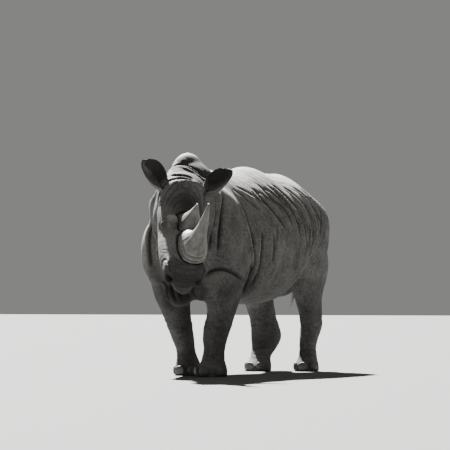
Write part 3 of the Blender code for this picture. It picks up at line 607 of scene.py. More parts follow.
MIDDLE_HEAD_FOLDS = {
    "crest": (0.018, 0.012, 0.008, 0.004, [
        (0.12, -0.055, -0.06), (0.06, -0.045, -0.03), (0.0, -0.04, -0.02),
    ]),
    "forehead_0": (0.013, 0.009, 0.006, 0.0, [
        (0.205, 0.24, -0.22), (0.195, 0.12, -0.15), (0.14, 0.045, -0.07), (0.07, 0.02, -0.02),
        (0.0, 0.01, -0.01),
    ]),
    "forehead_1": (0.009, 0.006, 0.003, 0.0, [
        (0.200, 0.28, -0.18), (0.175, 0.18, -0.09), (0.10, 0.095, -0.03), (0.0, 0.060, -0.015),
    ]),
    "forehead_2": (0.008, 0.005, 0.003, 0.0, [
        (0.185, 0.31, -0.12), (0.150, 0.23, -0.06), (0.09, 0.155, -0.03), (0.0, 0.115, -0.02),
    ]),
    "forehead_3": (0.008, 0.004, 0.002, 0.0, [
        (0.140, 0.30, -0.06), (0.08, 0.215, -0.035), (0.0, 0.175, -0.03),
    ]),
    "forehead_4": (0.008, 0.004, 0.002, 0.0, [
        (0.125, 0.37, -0.06), (0.08, 0.280, -0.045), (0.0, 0.235, -0.04),
    ]),
    "forehead_5": (0.008, 0.003, 0.002, 0.0, [
        (0.110, 0.40, -0.07), (0.07, 0.325, -0.05), (0.0, 0.290, -0.045),
    ]),
    "nose_1": (0.007, 0.006, 0.003, 0.0, [
        (0.140, 0.74, -0.09), (0.08, 0.825, -0.085), (0.0, 0.845, -0.085),
    ]),
    "nose_2": (0.006, 0.004, 0.002, 0.0, [
        (0.135, 0.80, -0.11), (0.08, 0.865, -0.110), (0.0, 0.880, -0.110),
    ]),
    "nose_3": (0.006, 0.004, 0.002, 0.0, [
        (0.120, 0.86, -0.14), (0.07, 0.905, -0.145), (0.0, 0.915, -0.145),
    ]),
    "nose_4": (0.006, 0.003, 0.002, 0.0, [
        (0.110, 0.91, -0.185), (0.06, 0.935, -0.19), (0.0, 0.94, -0.19),
    ]),
}

# Openings of the head in its frame: centre, way out of it, way along it, half-length, half-width
NOSTRIL = ((0.106, 0.905, -0.200), (0.66, 0.75, 0.05), (-0.35, 0.45, -0.7), 0.040, 0.024)
NOSTRIL_DEPTH = 0.045
GAZE = Vector((0.93, 0.30, 0.16)).normalized()
LID_SLIT = (0.0195, 0.0108)  # half-length, half-height
LID_THICKNESS = 0.0045
LID_GRID = ((72, 48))
# Swellings of the head in its frame, mirrored too: centre, radius, height
SWELLINGS = {
    "brow": ((0.118, 0.450, -0.020), 0.050, 0.009),
    "nostril_edge": ((0.110, 0.830, -0.080), 0.035, 0.010),
}
# Creases round each eye: distance from its middle, from and to angle (0 towards the lips, 90 towards the
# horns), half-width, depth
EYE_RINGS = [
    (0.044, 25, 175, 0.0075, 0.007), (0.066, 20, 165, 0.010, 0.009), (0.090, 30, 150, 0.010, 0.005),
    (0.043, -160, -20, 0.007, 0.005), (0.060, -150, -25, 0.008, 0.005), (0.080, -140, -35, 0.009, 0.003),
]


def smoothstep(low, high, value):
    share = np.clip((value - low) / (high - low), 0.0, 1.0)
    return share * share * (3 - 2 * share)


def noise_at(rows):
    """The noise at each row of the array."""
    return np.array([noise.noise(Vector(row)) for row in rows.tolist()])


def placed(name, data):
    """The data as an object of the scene."""
    made = bpy.data.objects.new(name, data)
    bpy.context.scene.collection.objects.link(made)
    return made


def stored(mesh, name):
    """The mesh as data of this name; the mesh is freed."""
    data = bpy.data.meshes.new(name)
    mesh.to_mesh(data)
    mesh.free()
    return data


def opened(data):
    """The data as a mesh that can be worked on."""
    mesh = bmesh.new()
    mesh.from_mesh(data)
    return mesh


def bell(value, width):
    """1 where the value is 0, falling off to both sides over the width."""
    return np.exp(-((value / width) ** 2))


def object_of(mesh, name):
    """The mesh as an object, at its final place."""
    bmesh.ops.translate(mesh, vec=MIDDLE, verts=mesh.verts)
    bmesh.ops.recalc_face_normals(mesh, faces=mesh.faces)
    return placed(name, stored(mesh, name))


def take_in(whole, part):
    """Moves the part into the whole, its faces turned outwards."""
    bmesh.ops.recalc_face_normals(part, faces=part.faces)
    data = stored(part, "part")
    whole.from_mesh(data)
    bpy.data.meshes.remove(data)


def relax(mesh, verts, passes):
    """Draws the vertices half the way to the middle of their neighbours, pass by pass."""
    axes = {"use_axis_x": True, "use_axis_y": True, "use_axis_z": True}
    for _ in range(passes):
        bmesh.ops.smooth_vert(mesh, verts=verts, factor=0.5, **axes)


def mark(data, name, values, kind="FLOAT"):
    """Keeps a number, or a vector, for each point of the data."""
    made = data.attributes.new(name, kind, "POINT")
    made.data.foreach_set("value" if kind == "FLOAT" else "vector", values)


def plain_mesh(made):
    """The object's mesh with its modifiers applied; the object is removed."""
    found = bpy.data.meshes.new_from_object(made.evaluated_get(bpy.context.evaluated_depsgraph_get()))
    bpy.data.objects.remove(made)
    return found


def flesh_parts(skull):
    yield trunk_mesh()
    yield neck_mesh(skull)
    yield head_mesh(skull, SKULL)
    yield head_mesh(skull, JAW)
    for leg in LEGS:
        yield leg_mesh(leg)
    for centre, radii in [*BODY_MASSES.values(), *both_sides(PAIRED_MASSES)]:
        yield ellipsoid(centre, radii)
    for centre, radii in [*MIDDLE_HEAD_MASSES.values(), *both_sides(HEAD_MASSES)]:
        yield ellipsoid(on_face(*centre), radii, skull)


def fused_flesh(skull):
    """The lofts and masses as one closed skin with flat soles, its creases smoothed."""
    whole = bmesh.new()
    for part in flesh_parts(skull):
        take_in(whole, part)
    body = object_of(whole, "fused_flesh")
    remesh = body.modifiers.new("fuse", "REMESH")
    remesh.mode = "VOXEL"
    remesh.voxel_size = SKIN_VOXEL
    smooth = body.modifiers.new("flesh", "SMOOTH")
    smooth.factor = 0.5
    smooth.iterations = SKIN_SMOOTH
    flesh = opened(plain_mesh(body))
    everything = flesh.verts[:] + flesh.edges[:] + flesh.faces[:]
    floor = {"plane_co": (0, 0, 0), "plane_no": (0, 0, 1)}
    bmesh.ops.bisect_plane(flesh, geom=everything, clear_inner=True, **floor)
    cut = [edge for edge in flesh.edges if edge.is_boundary]
    soles = bmesh.ops.holes_fill(flesh, edges=cut, sides=0)["faces"]
    bmesh.ops.triangulate(flesh, faces=soles)
    return flesh


def refine(flesh, skull, centre, radii):
    """Halves the grid inside an ellipsoid of the head's frame and rounds it again."""
    inverse = (Matrix.Translation(MIDDLE) @ skull).inverted()
    picked = set()
    for vertex in flesh.verts:
        offset = inverse @ vertex.co - Vector(centre)
        if sum((offset[k] / radii[k]) ** 2 for k in range(3)) < 1:
            picked.add(vertex)
    edges = [edge for edge in flesh.edges if edge.verts[0] in picked and edge.verts[1] in picked]
    made = bmesh.ops.subdivide_edges(flesh, edges=edges, cuts=1, use_grid_fill=True)
    new = [item for item in made["geom_inner"] if isinstance(item, bmesh.types.BMVert)]
    relax(flesh, new, 2)


def ear_axes(skull, ear):
    """The ear's root, the ways it points, its cup opens and runs across, and the way to the midline."""
    root, points, opens = EARS[ear]
    along = Vector(points).normalized()
    opens = Vector(opens)
    opens = (opens - along * opens.dot(along)).normalized()
    across = opens.cross(along)
    return skull @ Vector(root), along, opens, across, across if ear == "ear_left" else -across


def ear_mesh(skull, ear):
    """A cupped leaf: each ring runs round the outside of the cup and back round its inside."""
    steps, count = EAR_GRID
    root, along, opens, across, inwards = ear_axes(skull, ear)
    rings = []
    for share, half_width, depth, half_angle, shift in through_stations(EAR, steps):
        centre = root + along * share * EAR_LENGTH + inwards * shift
        outside = []
        inside = []
        thickness = min(EAR_THICKNESS, 0.45 * half_width)
        for k in range(count):
            angle = radians(half_angle) * (2 * k / (count - 1) - 1)
            thin = thickness * (1 - 0.55 * abs(2 * k / (count - 1) - 1) ** 4)
            outside.append(centre + across * half_width * sin(angle) - opens * depth * cos(angle))
            inner = across * (half_width - thin) * sin(angle) - opens * (depth - thin) * cos(angle)
            inside.append(centre + inner)
        rings.append(outside + inside[::-1])
    return loft(rings)


def tail_mesh(steps=9, count=22):
    rings = []
    for way, across, fore_aft in through_stations(TAIL, steps):
        here = curve_point(TAIL_PATH, way)
        along = (curve_point(TAIL_PATH, way + 0.01) - curve_point(TAIL_PATH, way - 0.01)).normalized()
        left = Vector((1.0, 0.0, 0.0))
        out = left.cross(along)
        ring = oval(fore_aft, -fore_aft, across, across, 2, 2, count)
        rings.append([here + left * x + out * y for x, y in ring])
    return loft(rings)


def near_both(points, first, second):
    """For each point, whether it lies near both surfaces."""
    found = []
    for place in points:
        found.append(
            first.find_nearest(place, SEAM_REACH)[0] is not None
            and second.find_nearest(place, SEAM_REACH)[0] is not None
        )
    return found


def joined(flesh, additions):
    """The flesh with ears, tail and lids grown onto it, and how far each point of it takes folds."""
    flesh_tree = BVHTree.FromBMesh(flesh)
    body = placed("skin", stored(flesh, "skin"))
    trees = []
    for number, addition in enumerate(additions):
        other = object_of(addition, f"addition_{number}")
        grid = opened(other.data)
        trees.append(BVHTree.FromBMesh(grid))
        grid.free()
        union = body.modifiers.new(other.name, "BOOLEAN")
        union.operation = "UNION"
        union.solver = "EXACT"
        union.object = other
        other.hide_render = True
    mesh = opened(plain_mesh(body))
    for other in [made for made in bpy.data.objects if made.name.startswith("addition_")]:
        bpy.data.objects.remove(other)
    bmesh.ops.triangulate(mesh, faces=[face for face in mesh.faces if len(face.verts) > 4])
    bmesh.ops.remove_doubles(mesh, verts=mesh.verts, dist=0.0004)
    for tree in trees:
        chosen = near_both([vertex.co for vertex in mesh.verts], flesh_tree, tree)
        seam = [vertex for vertex, taken in zip(mesh.verts, chosen) if taken]
        relax(mesh, seam, SEAM_PASSES)
    away = [flesh_tree.find_nearest(vertex.co)[3] for vertex in mesh.verts]
    return mesh, 1 - smoothstep(0.003, 0.014, np.array(away))


class Hide:
    """The skin's points and normals while it is worked, and how far each lies in a crease or on a ridge: the
    hide's colour paints the creases as shade and the ridges as a highlight.
    """

    def __init__(self, mesh, soft):
        self.mesh = mesh
        self.soft = soft
        self.points = np.zeros((len(mesh.vertices), 3))
        self.crease = np.zeros(len(mesh.vertices))
        self.ridge = np.zeros(len(mesh.vertices))
        buffer = np.zeros(len(mesh.vertices) * 3, np.float32)
        mesh.vertices.foreach_get("co", buffer)
        self.points[:] = buffer.reshape(-1, 3)
        self.sole = self.points[:, 2] < 0.0008
        self.settle()

    def settle(self):
        """Writes the points back and reads the normals that they give."""
        self.points[self.sole, 2] = 0.0
        self.points[:, 2] = np.maximum(self.points[:, 2], 0.0)
        self.mesh.vertices.foreach_set("co", self.points.astype(np.float32).ravel())
        self.mesh.update()
        buffer = np.zeros(len(self.points) * 3, np.float32)
        self.mesh.vertex_normals.foreach_get("vector", buffer)
        self.normals = buffer.reshape(-1, 3).astype(float)
        faces = [tuple(face.vertices) for face in self.mesh.polygons]
        self.tree = BVHTree.FromPolygons(self.points.tolist(), faces)

    def rounded(self, share, passes, raised=1.0):
        """Draws each point towards its neighbours by its share, `raised` times that where it stands out."""
        edges = np.zeros(len(self.mesh.edges) * 2, np.int32)
        self.mesh.edges.foreach_get("vertices", edges)
        ends = edges.reshape(-1, 2)
        count = np.bincount(edges, minlength=len(self.points))
        for _ in range(passes):
            drawn = -self.points
            for start, end in ((0, 1), (1, 0)):
                for k in range(3):
                    total = np.bincount(ends[:, start], self.points[ends[:, end], k], len(self.points))
                    drawn[:, k] += total / count
            inward = (drawn * self.normals).sum(1) < 0
            self.points += drawn * (0.5 * share * np.where(inward, raised, 1.0))[:, None]

    def filled(self, share, passes):
        """Fills the hollows where masses meet, and leaves the raised forms as they are."""
        self.rounded(share, passes, 0.12)

    def line_on(self, points):
        """A smooth line through the points, laid on the skin, and the skin's normals along it."""
        laid = [self.tree.find_nearest(Vector(row)) for row in through_stations(points, LINE_STEPS)]
        return np.array([spot[0] for spot in laid]), np.array([spot[1] for spot in laid])

    def fold(self, points, width, depth, lip=0.0, overlap=0.0, fade=0.22):
        """Presses a groove along the line, with a lip beside it that leans over it, fading at both ends."""
        line, out = self.line_on(points)
        ahead = np.gradient(line, axis=0)
        step = np.linalg.norm(ahead, axis=1, keepdims=True)
        ahead /= step
        beside = np.cross(ahead, out)
        reach = 4 * width
        inside = (self.points > line.min(0) - reach) & (self.points < line.max(0) + reach)
        picked = np.flatnonzero(np.all(inside, axis=1))
        offsets = self.points[picked][:, None] - line[None]
        nearest = (offsets**2).sum(2).argmin(1)
        offset = offsets[np.arange(len(picked)), nearest]
        forward = (offset * ahead[nearest]).sum(1)
        side = (offset * beside[nearest]).sum(1)
        away = np.sqrt(np.maximum((offset**2).sum(1) - forward**2, 0.0)) * np.sign(side)
        way = (nearest + forward / step[nearest, 0]) / (len(line) - 1)
        strength = smoothstep(0, fade, way) * smoothstep(0, fade, 1 - way)
        strength *= smoothstep(0.0, 0.45, (self.normals[picked] * out[nearest]).sum(1)) * self.soft[picked]
        groove = bell(away, width)
        ridge = bell(away - 1.35 * width, 0.8 * width)
        rise = (lip * ridge - depth * groove) * strength
        shift = -overlap * bell(away - 0.9 * width, 0.7 * width) * strength
        self.points[picked] += self.normals[picked] * rise[:, None] + beside[nearest] * shift[:, None]
        # The groove's share is painted dark as shade
        sharp = bell(away + 0.15 * width, 0.85 * width) * strength * min(1.0, depth / 0.012)
        self.crease[picked] = np.maximum(self.crease[picked], sharp)
        # The lip's share is painted as a highlight
        sharp = bell(away - 1.5 * width, 0.5 * width) * strength * min(1.0, lip / 0.010)
        self.ridge[picked] = np.maximum(self.ridge[picked], sharp)


def mirrored(points, slip=0.0):
    """The line on the other side, the other way round so that its lip stays towards the head."""
    return [(-x, y + slip, z) for x, y, z in points[::-1]]


def rib_line(bulge, top, bottom):
    """Points down the line whose furthest point back is at `bulge`."""
    points = []
    for z in np.linspace(top, bottom, 7):
        y = bulge - lines_bend(bulge) * (z - lines_height(bulge)) ** 2
        points.append((0.30 + 0.25 * smoothstep(1.65, 1.25, z), y, z))
    return points


def body_folds(hide):
    """The big folds, the finer ones between them, and their mirror images."""
    folds = dict(BODY_FOLDS)
    for number, line in enumerate(RIB_FOLDS):
        folds[f"rib_line_{number}"] = (*RIB_FOLD, rib_line(*line))
    for width, depth, lip, overlap, points in folds.values():
        for line in (points, mirrored(points, 0.03)):
            hide.fold([Vector(row) + MIDDLE for row in line], width, depth, lip, overlap)
    for width, depth, lip, overlap, points in SINGLE_FOLDS.values():
        hide.fold([Vector(row) + MIDDLE for row in points], width, depth, lip, overlap)


def head_folds(hide, skull):
    for name, (width, depth, lip, overlap, points) in HEAD_FOLDS.items():
        if name == "mouth":
            points = mirrored(points)[:-1] + points
            lines = [points]
        else:
            lines = [points, mirrored(points)]
        for line in lines:
            hide.fold([skull @ on_face(*row) + MIDDLE for row in line], width, depth, lip, overlap, 0.12)
    for width, depth, lip, overlap, points in MIDDLE_HEAD_FOLDS.values():
        line = points + mirrored(points)[1:]
        hide.fold([skull @ on_face(*row) + MIDDLE for row in line], width, depth, lip, overlap, 0.18)


def horn_gaps(hide, horn_frame):
    """The gap round each horn's foot, where its frayed edge stands off the hide, pressed as a groove that
    the hide's colour paints dark as shade.
    """
    for stations, (along, up), *_ in HORNS.values():
        _, across, fore_aft = stations["base"]
        roundness = 2 + HORN_SQUARENESS
        ring = []
        across, fore_aft = across * 1.03, fore_aft * 1.03
        for x, y in oval(fore_aft, -fore_aft, across, across, roundness, roundness, 32):
            ring.append(horn_frame @ Vector((x, along + y, up - 0.02)) + MIDDLE)
        hide.fold(ring + ring[:1], 0.010, 0.014, 0.0, 0.0, 0.001)


def in_frame(points, skull):
    """The points in the head's frame."""
    inverse = np.array((Matrix.Translation(MIDDLE) @ skull).inverted())
    return points @ inverse[:3, :3].T + inverse[:3, 3]


def open_nostrils(hide, skull):
    turn = np.array(skull.to_3x3())
    local = in_frame(hide.points, skull)
    for side in (1, -1):
        flip = np.array((side, 1, 1))
        centre, out, along, half_length, half_width = NOSTRIL
        out = np.array(Vector(out).normalized()) * flip
        along = np.array(Vector(along).normalized()) * flip
        along = along - out * (along @ out)
        along /= np.linalg.norm(along)
        across = np.cross(out, along)
        offset = local - np.array(on_face(centre[0] * side, *centre[1:]))
        length = (offset @ along) / half_length
        width = (offset @ across) / half_width + 0.55 * (length**2 - 0.3) * side
        reach = np.sqrt(length**2 + width**2)
        near = (np.linalg.norm(offset, axis=1) < 0.09) & (offset @ out > -0.05)
        hole = (1 - smoothstep(0.55, 1.15, reach)) * near
        rim = bell(reach - 1.45, 0.33) * near
        push = (rim * 0.006 - hole * NOSTRIL_DEPTH)[:, None] * (turn @ out)[None]
        hide.points += push
        # The hole is painted dark as shade
        hide.crease = np.maximum(hide.crease, hole)


def eye_axes(side):
    """In the head's frame: the eye's middle, its gaze, the run of its lids and the way over the brow."""
    (x, y, z), _ = EYE
    out = Vector((GAZE.x * side, GAZE.y, GAZE.z))
    along = Vector((0.0, 1.0, -0.12))
    along = (along - out * along.dot(out)).normalized()
    up = out.cross(along)
    return on_face(side * x, y, z), out, along, up if up.z > 0 else -up


def lid_mesh(skull, side):
    """Both lids round the eyeball: a ball that dives behind the eye along the slit between them."""
    radius = EYE[1]
    centre, out, along, up = eye_axes(side)
    columns, rows = LID_GRID
    rings = []
    for row in range(1, rows):
        away = pi * (row / rows) ** 1.4
        ring = []
        for column in range(columns):
            turn = 2 * pi * column / columns
            unit = out * cos(away) + (along * cos(turn) + up * sin(turn)) * sin(away)
            length = unit.dot(along) * radius / LID_SLIT[0]
            height = unit.dot(up) * radius / LID_SLIT[1]
            height = height * (1.25 if height < 0 else 1.0) + 0.15 * length
            reach = hypot(length, height)
            slit = (1 - smoothstep(0.84, 1.04, reach)) if away < pi / 2 else 0.0
            lid = radius + LID_THICKNESS + 0.0020 * bell(reach - 1.30, 0.2)
            lid -= 0.0022 * bell(reach - 1.75, 0.16)
            ring.append(skull @ (centre + unit * float(lid + (radius - 0.004 - lid) * slit)))
        rings.append(ring)
    return loft(rings)


def swellings(hide, skull):
    """Raises the brows and the edges of the nostrils."""
    local = in_frame(hide.points, skull)
    for side in (1, -1):
        for (x, y, z), radius, height in SWELLINGS.values():
            away = np.linalg.norm(local - np.array(on_face(side * x, y, z)), axis=1)
            hide.points += hide.normals * (height * hide.soft * bell(away, radius))[:, None]


def eye_rings(hide, skull):
    for side in (1, -1):
        centre, out, along, up = eye_axes(side)
        for distance, start, end, width, depth in EYE_RINGS:
            line = []
            for angle in np.radians(np.linspace(start, end, 6)):
                place = centre + along * cos(angle) * distance * 1.15 + up * sin(angle) * distance
                line.append(skull @ (place + out * 0.02) + MIDDLE)
            hide.fold(line, width, depth, depth * 0.8, 0.0, 0.3)


def lines_bend(y):
    """How sharply the hide's lines bend round the barrel at this length of the body."""
    return 0.5 + 1.6 * smoothstep(-0.5, 0.4, y)


def lines_height(y):
    """How high the hide's lines reach furthest back."""
    return 0.95 + 0.35 * smoothstep(-0.4, 0.8, y)


def lie_of(points, skull):
    """How far each point lies across the run of the skin's creases, and its shares of leg and of head.

    The creases run along the ribs' arcs on the trunk, level on the legs, and in rings round the rear horn.
    """
    _, y, z = (points - np.array(MIDDLE)).T
    trunk = y + lines_bend(y) * (z - lines_height(y)) ** 2
    leg = 1 - smoothstep(0.42, 0.70, z)
    local = in_frame(points, skull)
    head = smoothstep(-0.12, 0.06, local[:, 1]) * smoothstep(-0.60, -0.48, local[:, 2])
    rings = np.linalg.norm(local - np.array((0.0, 0.42, -0.05)), axis=1)
    lie = trunk * (1 - leg) + z * leg
    return lie * (1 - head) + rings * head, leg, head


def press_creases(hide, skull):
    """Creases along the lie of the skin, closest on the joints and the head."""
    lie, leg, head = lie_of(hide.points, skull)
    x, y, z = (hide.points - np.array(MIDDLE)).T
    local = in_frame(hide.points, skull)
    spacing = 0.110 * (1 - leg) * (1 - head) + 0.045 * leg + 0.030 * head
    joints = bell(z - 0.42, 0.10) + bell(z - 0.17, 0.07)
    trunk = (1 - leg) * smoothstep(0.2, 0.0, head)
    head = smoothstep(0.7, 1.0, head)
    brow = smoothstep(0.15, 0.02, local[:, 2] * -1) * head
    depth = 0.0012 * trunk + 0.0035 * leg * joints + 0.0011 * head + 0.0010 * brow
    depth *= 1 - smoothstep(0.02, 0.0, z)
    run = 5 + 6 * leg + 5 * head
    rows = np.stack([lie / spacing, (x + 0.4 * z) * run, (y - 0.5 * z) * run], axis=1)
    field = noise_at(rows)
    groove = bell(field, 0.16)
    broad = noise_at(rows * np.array((0.45, 0.5, 0.5)) + 7.3)
    hide.points += hide.normals * ((broad * 1.6 - groove) * depth * hide.soft)[:, None]
    # The fine creases are painted dark as shade
    hide.crease = np.maximum(hide.crease, 0.55 * groove * smoothstep(0.001, 0.005, depth))
    return lie


def neck_share(points, skull):
    """1 on the hump and the top of the neck, where the muscles run into each other, and 0 elsewhere."""
    _, y, z = (points - np.array(MIDDLE)).T
    above = smoothstep(1.20, 1.38, z) * smoothstep(1.70, 1.60, z)
    return above * smoothstep(-0.20, -0.45, y) * (1 - lie_of(points, skull)[2])


def skin_piece(skull):
    flesh = fused_flesh(skull)
    refine(flesh, skull, (0, 0.50, -0.20), (0.32, 0.62, 0.40))
    for side in (1, -1):
        for (x, y, z), reach in ((EYE[0], (0.07, 0.075, 0.07)), (NOSTRIL[0], (0.07, 0.08, 0.09))):
            refine(flesh, skull, on_face(side * x, y, z), reach)
    ears = [ear_mesh(skull, ear) for ear in EARS]
    lids = [lid_mesh(skull, side) for side in (1, -1)]
    mesh, soft = joined(flesh, [*ears, tail_mesh(), *lids])
    data = stored(mesh, "skin")
    hide = Hide(data, soft)
    hide.filled(neck_share(hide.points, skull) * hide.soft, NECK_PASSES)
    hide.settle()
    body_folds(hide)
    hide.rounded(0.8 * (1 - lie_of(hide.points, skull)[2]) * hide.soft, 3)
    swellings(hide, skull)
    hide.settle()
    head_folds(hide, skull)
    eye_rings(hide, skull)
    hide.rounded(lie_of(hide.points, skull)[2] * hide.soft, 2)
    horn_gaps(hide, head_frame(HORN_TILT))
    hide.settle()
    lie = press_creases(hide, skull)
    open_nostrils(hide, skull)
    hide.settle()
    # The lips of the folds carry a painted highlight, above the belly line and off the head
    above = smoothstep(0.86, 1.05, hide.points[:, 2]) * (1 - lie_of(hide.points, skull)[2])
    found = {"crease": hide.crease, "ridge": hide.ridge * above, "lie": lie, **markings(hide, skull)}
    for name, values in found.items():
        mark(data, name, values.astype(np.float32))
    made = placed("skin", data)
    thin = made.modifiers.new("thin", "DECIMATE")
    thin.ratio = min(1.0, SKIN_TRIANGLES / sum(len(face.vertices) - 2 for face in data.polygons))
    made.data = bpy.data.meshes.new_from_object(made.evaluated_get(bpy.context.evaluated_depsgraph_get()))
    made.modifiers.clear()
    data.shade_smooth()
    return made


def ear_cup_painted_shade(hide, skull):
    """How much painted shade lies on each point inside an ear's cup: most on the half nearer the head, less
    towards the tip.
    """
    found = np.zeros(len(hide.points))
    for ear in EARS:
        root, along, opens, _, inwards = (np.array(part) for part in ear_axes(skull, ear))
        offset = hide.points - root - np.array(MIDDLE)
        share = offset @ along / EAR_LENGTH
        beside = np.linalg.norm(offset - np.outer(offset @ along, along), axis=1)
        inside = (share > 0.02) & (share < 0.98) & (beside < 0.10) & (hide.soft < 0.5)
        facing = smoothstep(0.1, 0.8, hide.normals @ opens)
        half = 0.03 + 1.2 * smoothstep(-0.015, 0.035, offset @ inwards)
        half *= 0.4 if ear == "ear_left" else 1.0
        found += inside * facing * half * (1 - 0.5 * smoothstep(0.45, 0.95, share))
    return found


def markings(hide, skull):
    """Where the hide is darker, and where it is dusted; both also carry painted light and shade: shade on
    the hump, in the ear cups and partly on the legs, highlights on the sunlit top, the nape, the right
    shoulder and the brows.
    """
    x, y, z = (hide.points - np.array(MIDDLE)).T
    local = in_frame(hide.points, skull)
    _, leg, head = lie_of(hide.points, skull)
    # The legs are darker below the belly line, in mottled patches: partly darker hide, partly painted shade
    # under the body
    legs = 1 - smoothstep(0.72, 0.86, z) * smoothstep(0.0, 0.25, np.abs(x) + 0.3 * (z > 0.9))
    patches = noise_at(hide.points * np.array((7, 7, 4.5)))
    legs *= (1 - 0.55 * smoothstep(0.85, 1.05, y)) * np.clip(1 + 1.3 * patches, 0, 1.5)
    belly = smoothstep(-0.35, -0.2, y) * smoothstep(0.9, 0.6, y) * smoothstep(0.50, 0.60, z)
    legs = legs * (1 - belly)
    forehead = bell(local[:, 1] - 0.26, 0.16) * bell(local[:, 0], 0.15) * head
    lips = smoothstep(0.78, 0.86, local[:, 1]) * (1 - 0.8 * smoothstep(0.27, 0.33, -local[:, 2])) * head
    brisket = smoothstep(-0.78, -0.90, y) * smoothstep(0.90, 0.80, z) * smoothstep(0.24, 0.14, np.abs(x))
    # Painted shade: a dark patch with a ragged edge over the left side of the hump, below its top
    ragged = noise_at(hide.points * 22) * 0.035
    hump_painted_shade = smoothstep(-0.02, 0.02, x + 0.35 * (z - 1.72) + ragged)
    hump_painted_shade *= smoothstep(0.0, 0.02, 1.80 - z + 0.3 * ragged)
    hump_painted_shade *= smoothstep(-0.60, -0.72, y) * smoothstep(1.50, 1.58, z) * (1 - head)
    dark = 0.42 * legs + 0.85 * forehead + 0.75 * lips + 1.1 * hump_painted_shade + 0.4 * brisket
    # Painted shade in the ear cups, then darker hide in random patches
    dark += ear_cup_painted_shade(hide, skull) + 0.25 * np.clip(noise_at(hide.points * 5 + 3.1), 0, 1)
    dark = np.clip(dark, 0, 1)
    # Painted highlight on the nape and the front of the hump's right half, where the sun falls
    nape = smoothstep(-0.58, -0.70, y) * smoothstep(1.58, 1.68, z) * smoothstep(0.12, 0.06, x) * (1 - head)
    # Paler, dusted hide on up-facing surfaces, which also stands in as painted light on the sunlit top of
    # the back
    dust_and_painted_light = smoothstep(0.2, 0.95, hide.normals[:, 2]) * (0.75 - head * 0.15) + 0.3 * nape
    # Painted highlight on the upper right shoulder and chest, the side turned towards the sun
    shoulder = smoothstep(-0.16, -0.26, x) * smoothstep(-0.60, -0.75, y) * smoothstep(0.85, 1.0, z)
    dust_and_painted_light += 0.45 * shoulder * (1 - head)
    # Painted highlight on each brow, where the sun would catch it
    for side in (1, -1):
        brow = np.array(on_face(side * 0.120, 0.435, -0.035))
        dust_and_painted_light += 0.9 * np.exp(-((np.linalg.norm(local - brow, axis=1) / 0.045) ** 4))
    grained = (0.30 + 0.70 * smoothstep(1.30, 1.55, z)) * (1 - head) * (1 - 0.6 * leg)
    grained *= smoothstep(-0.7, -0.5, y) * smoothstep(0.99, 0.88, hide.normals[:, 2])
    grained *= smoothstep(1.12, 0.92, y)
    return {"dark": dark, "dust_and_painted_light": dust_and_painted_light, "grained": grained}


# ---- Horns, nails and eyes ----------------------------------------------------------------------------
HORN_GRID = ((16, 120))  # steps from station to station, points round
HORN_RINGS = {"horn_front": (0.035, 0.085, 0.15), "horn_rear": (0.08, 0.20)}  # shares of the length
NAIL_GRID = (32, 20)
EYE_GRID = (40, 28)


def horn_relief(horn, share, turn, wander):
    """How far the horn stands out at this share of its length and way round it, and how deep in a ring."""
    fibres = noise.noise(Vector((cos(turn) * 9, sin(turn) * 9, share * 2.2 + wander)))
    fine = noise.noise(Vector((cos(turn) * 24, sin(turn) * 24, share * 3.0 + wander)))
    level = share + 0.010 * noise.noise(Vector((cos(turn) * 1.6, sin(turn) * 1.6, wander)))
    low = 1 - min(1.0, share / 0.5)
    relief = 0.0030 * fibres * (0.3 + 0.7 * low) + 0.0012 * fine * (0.3 + 0.7 * low)
    ringed = 0.0
    for ring in HORN_RINGS[horn]:
        gap = (level - ring) / 0.012
        dip, rise = bell(gap, 1), bell(gap - 1.8, 1)
        relief += (0.0025 * rise - 0.0045 * dip) * (1 - ring)
        ringed += (dip - 0.6 * rise) * (1 - ring) ** 2 * (0.5 + fine)
    return relief, ringed


def horn_piece(skull, horn):
    """The horn's stations along their arc, with its fibres and its growth rings."""
    steps, count = HORN_GRID
    stations, (along, up), length, lean, turn_back = HORNS[horn]
    rings = []
    grain = []
    rings_worn = []
    place = Vector((0.0, along, up))
    before = 0.0
    wander = 3.7 if horn == "horn_front" else 9.1
    for share, across, fore_aft in through_stations(stations, steps):
        angle = lean - turn_back * (share + before) / 2
        place = place + Vector((0.0, sin(angle), cos(angle))) * length * (share - before)
        before = share
        angle = lean - turn_back * share
        ahead = Vector((0.0, cos(angle), -sin(angle)))
        ring = []
        roundness = 2 + HORN_SQUARENESS * (1 - share) ** 2
        outline = oval(fore_aft, -fore_aft, across, across, roundness, roundness, count)
        for k, (x, y) in enumerate(outline):
            turn = 2 * pi * k / count
            relief, ringed = horn_relief(horn, share, turn, wander)
            rings_worn.append(ringed)
            swell = 1 + min(0.2, relief / max(across, 0.02))
            ring.append(skull @ (place + Vector((x * swell, 0, 0)) + ahead * y * swell))
            grain += [cos(turn) * 0.1, sin(turn) * 0.1, share * length * 0.12]
        rings.append(ring)
    made = object_of(loft(rings), horn + "_keratin")
    mark(made.data, "grain", grain, "FLOAT_VECTOR")
    mark(made.data, "ringed", rings_worn)
    made.data.shade_smooth()
    return made


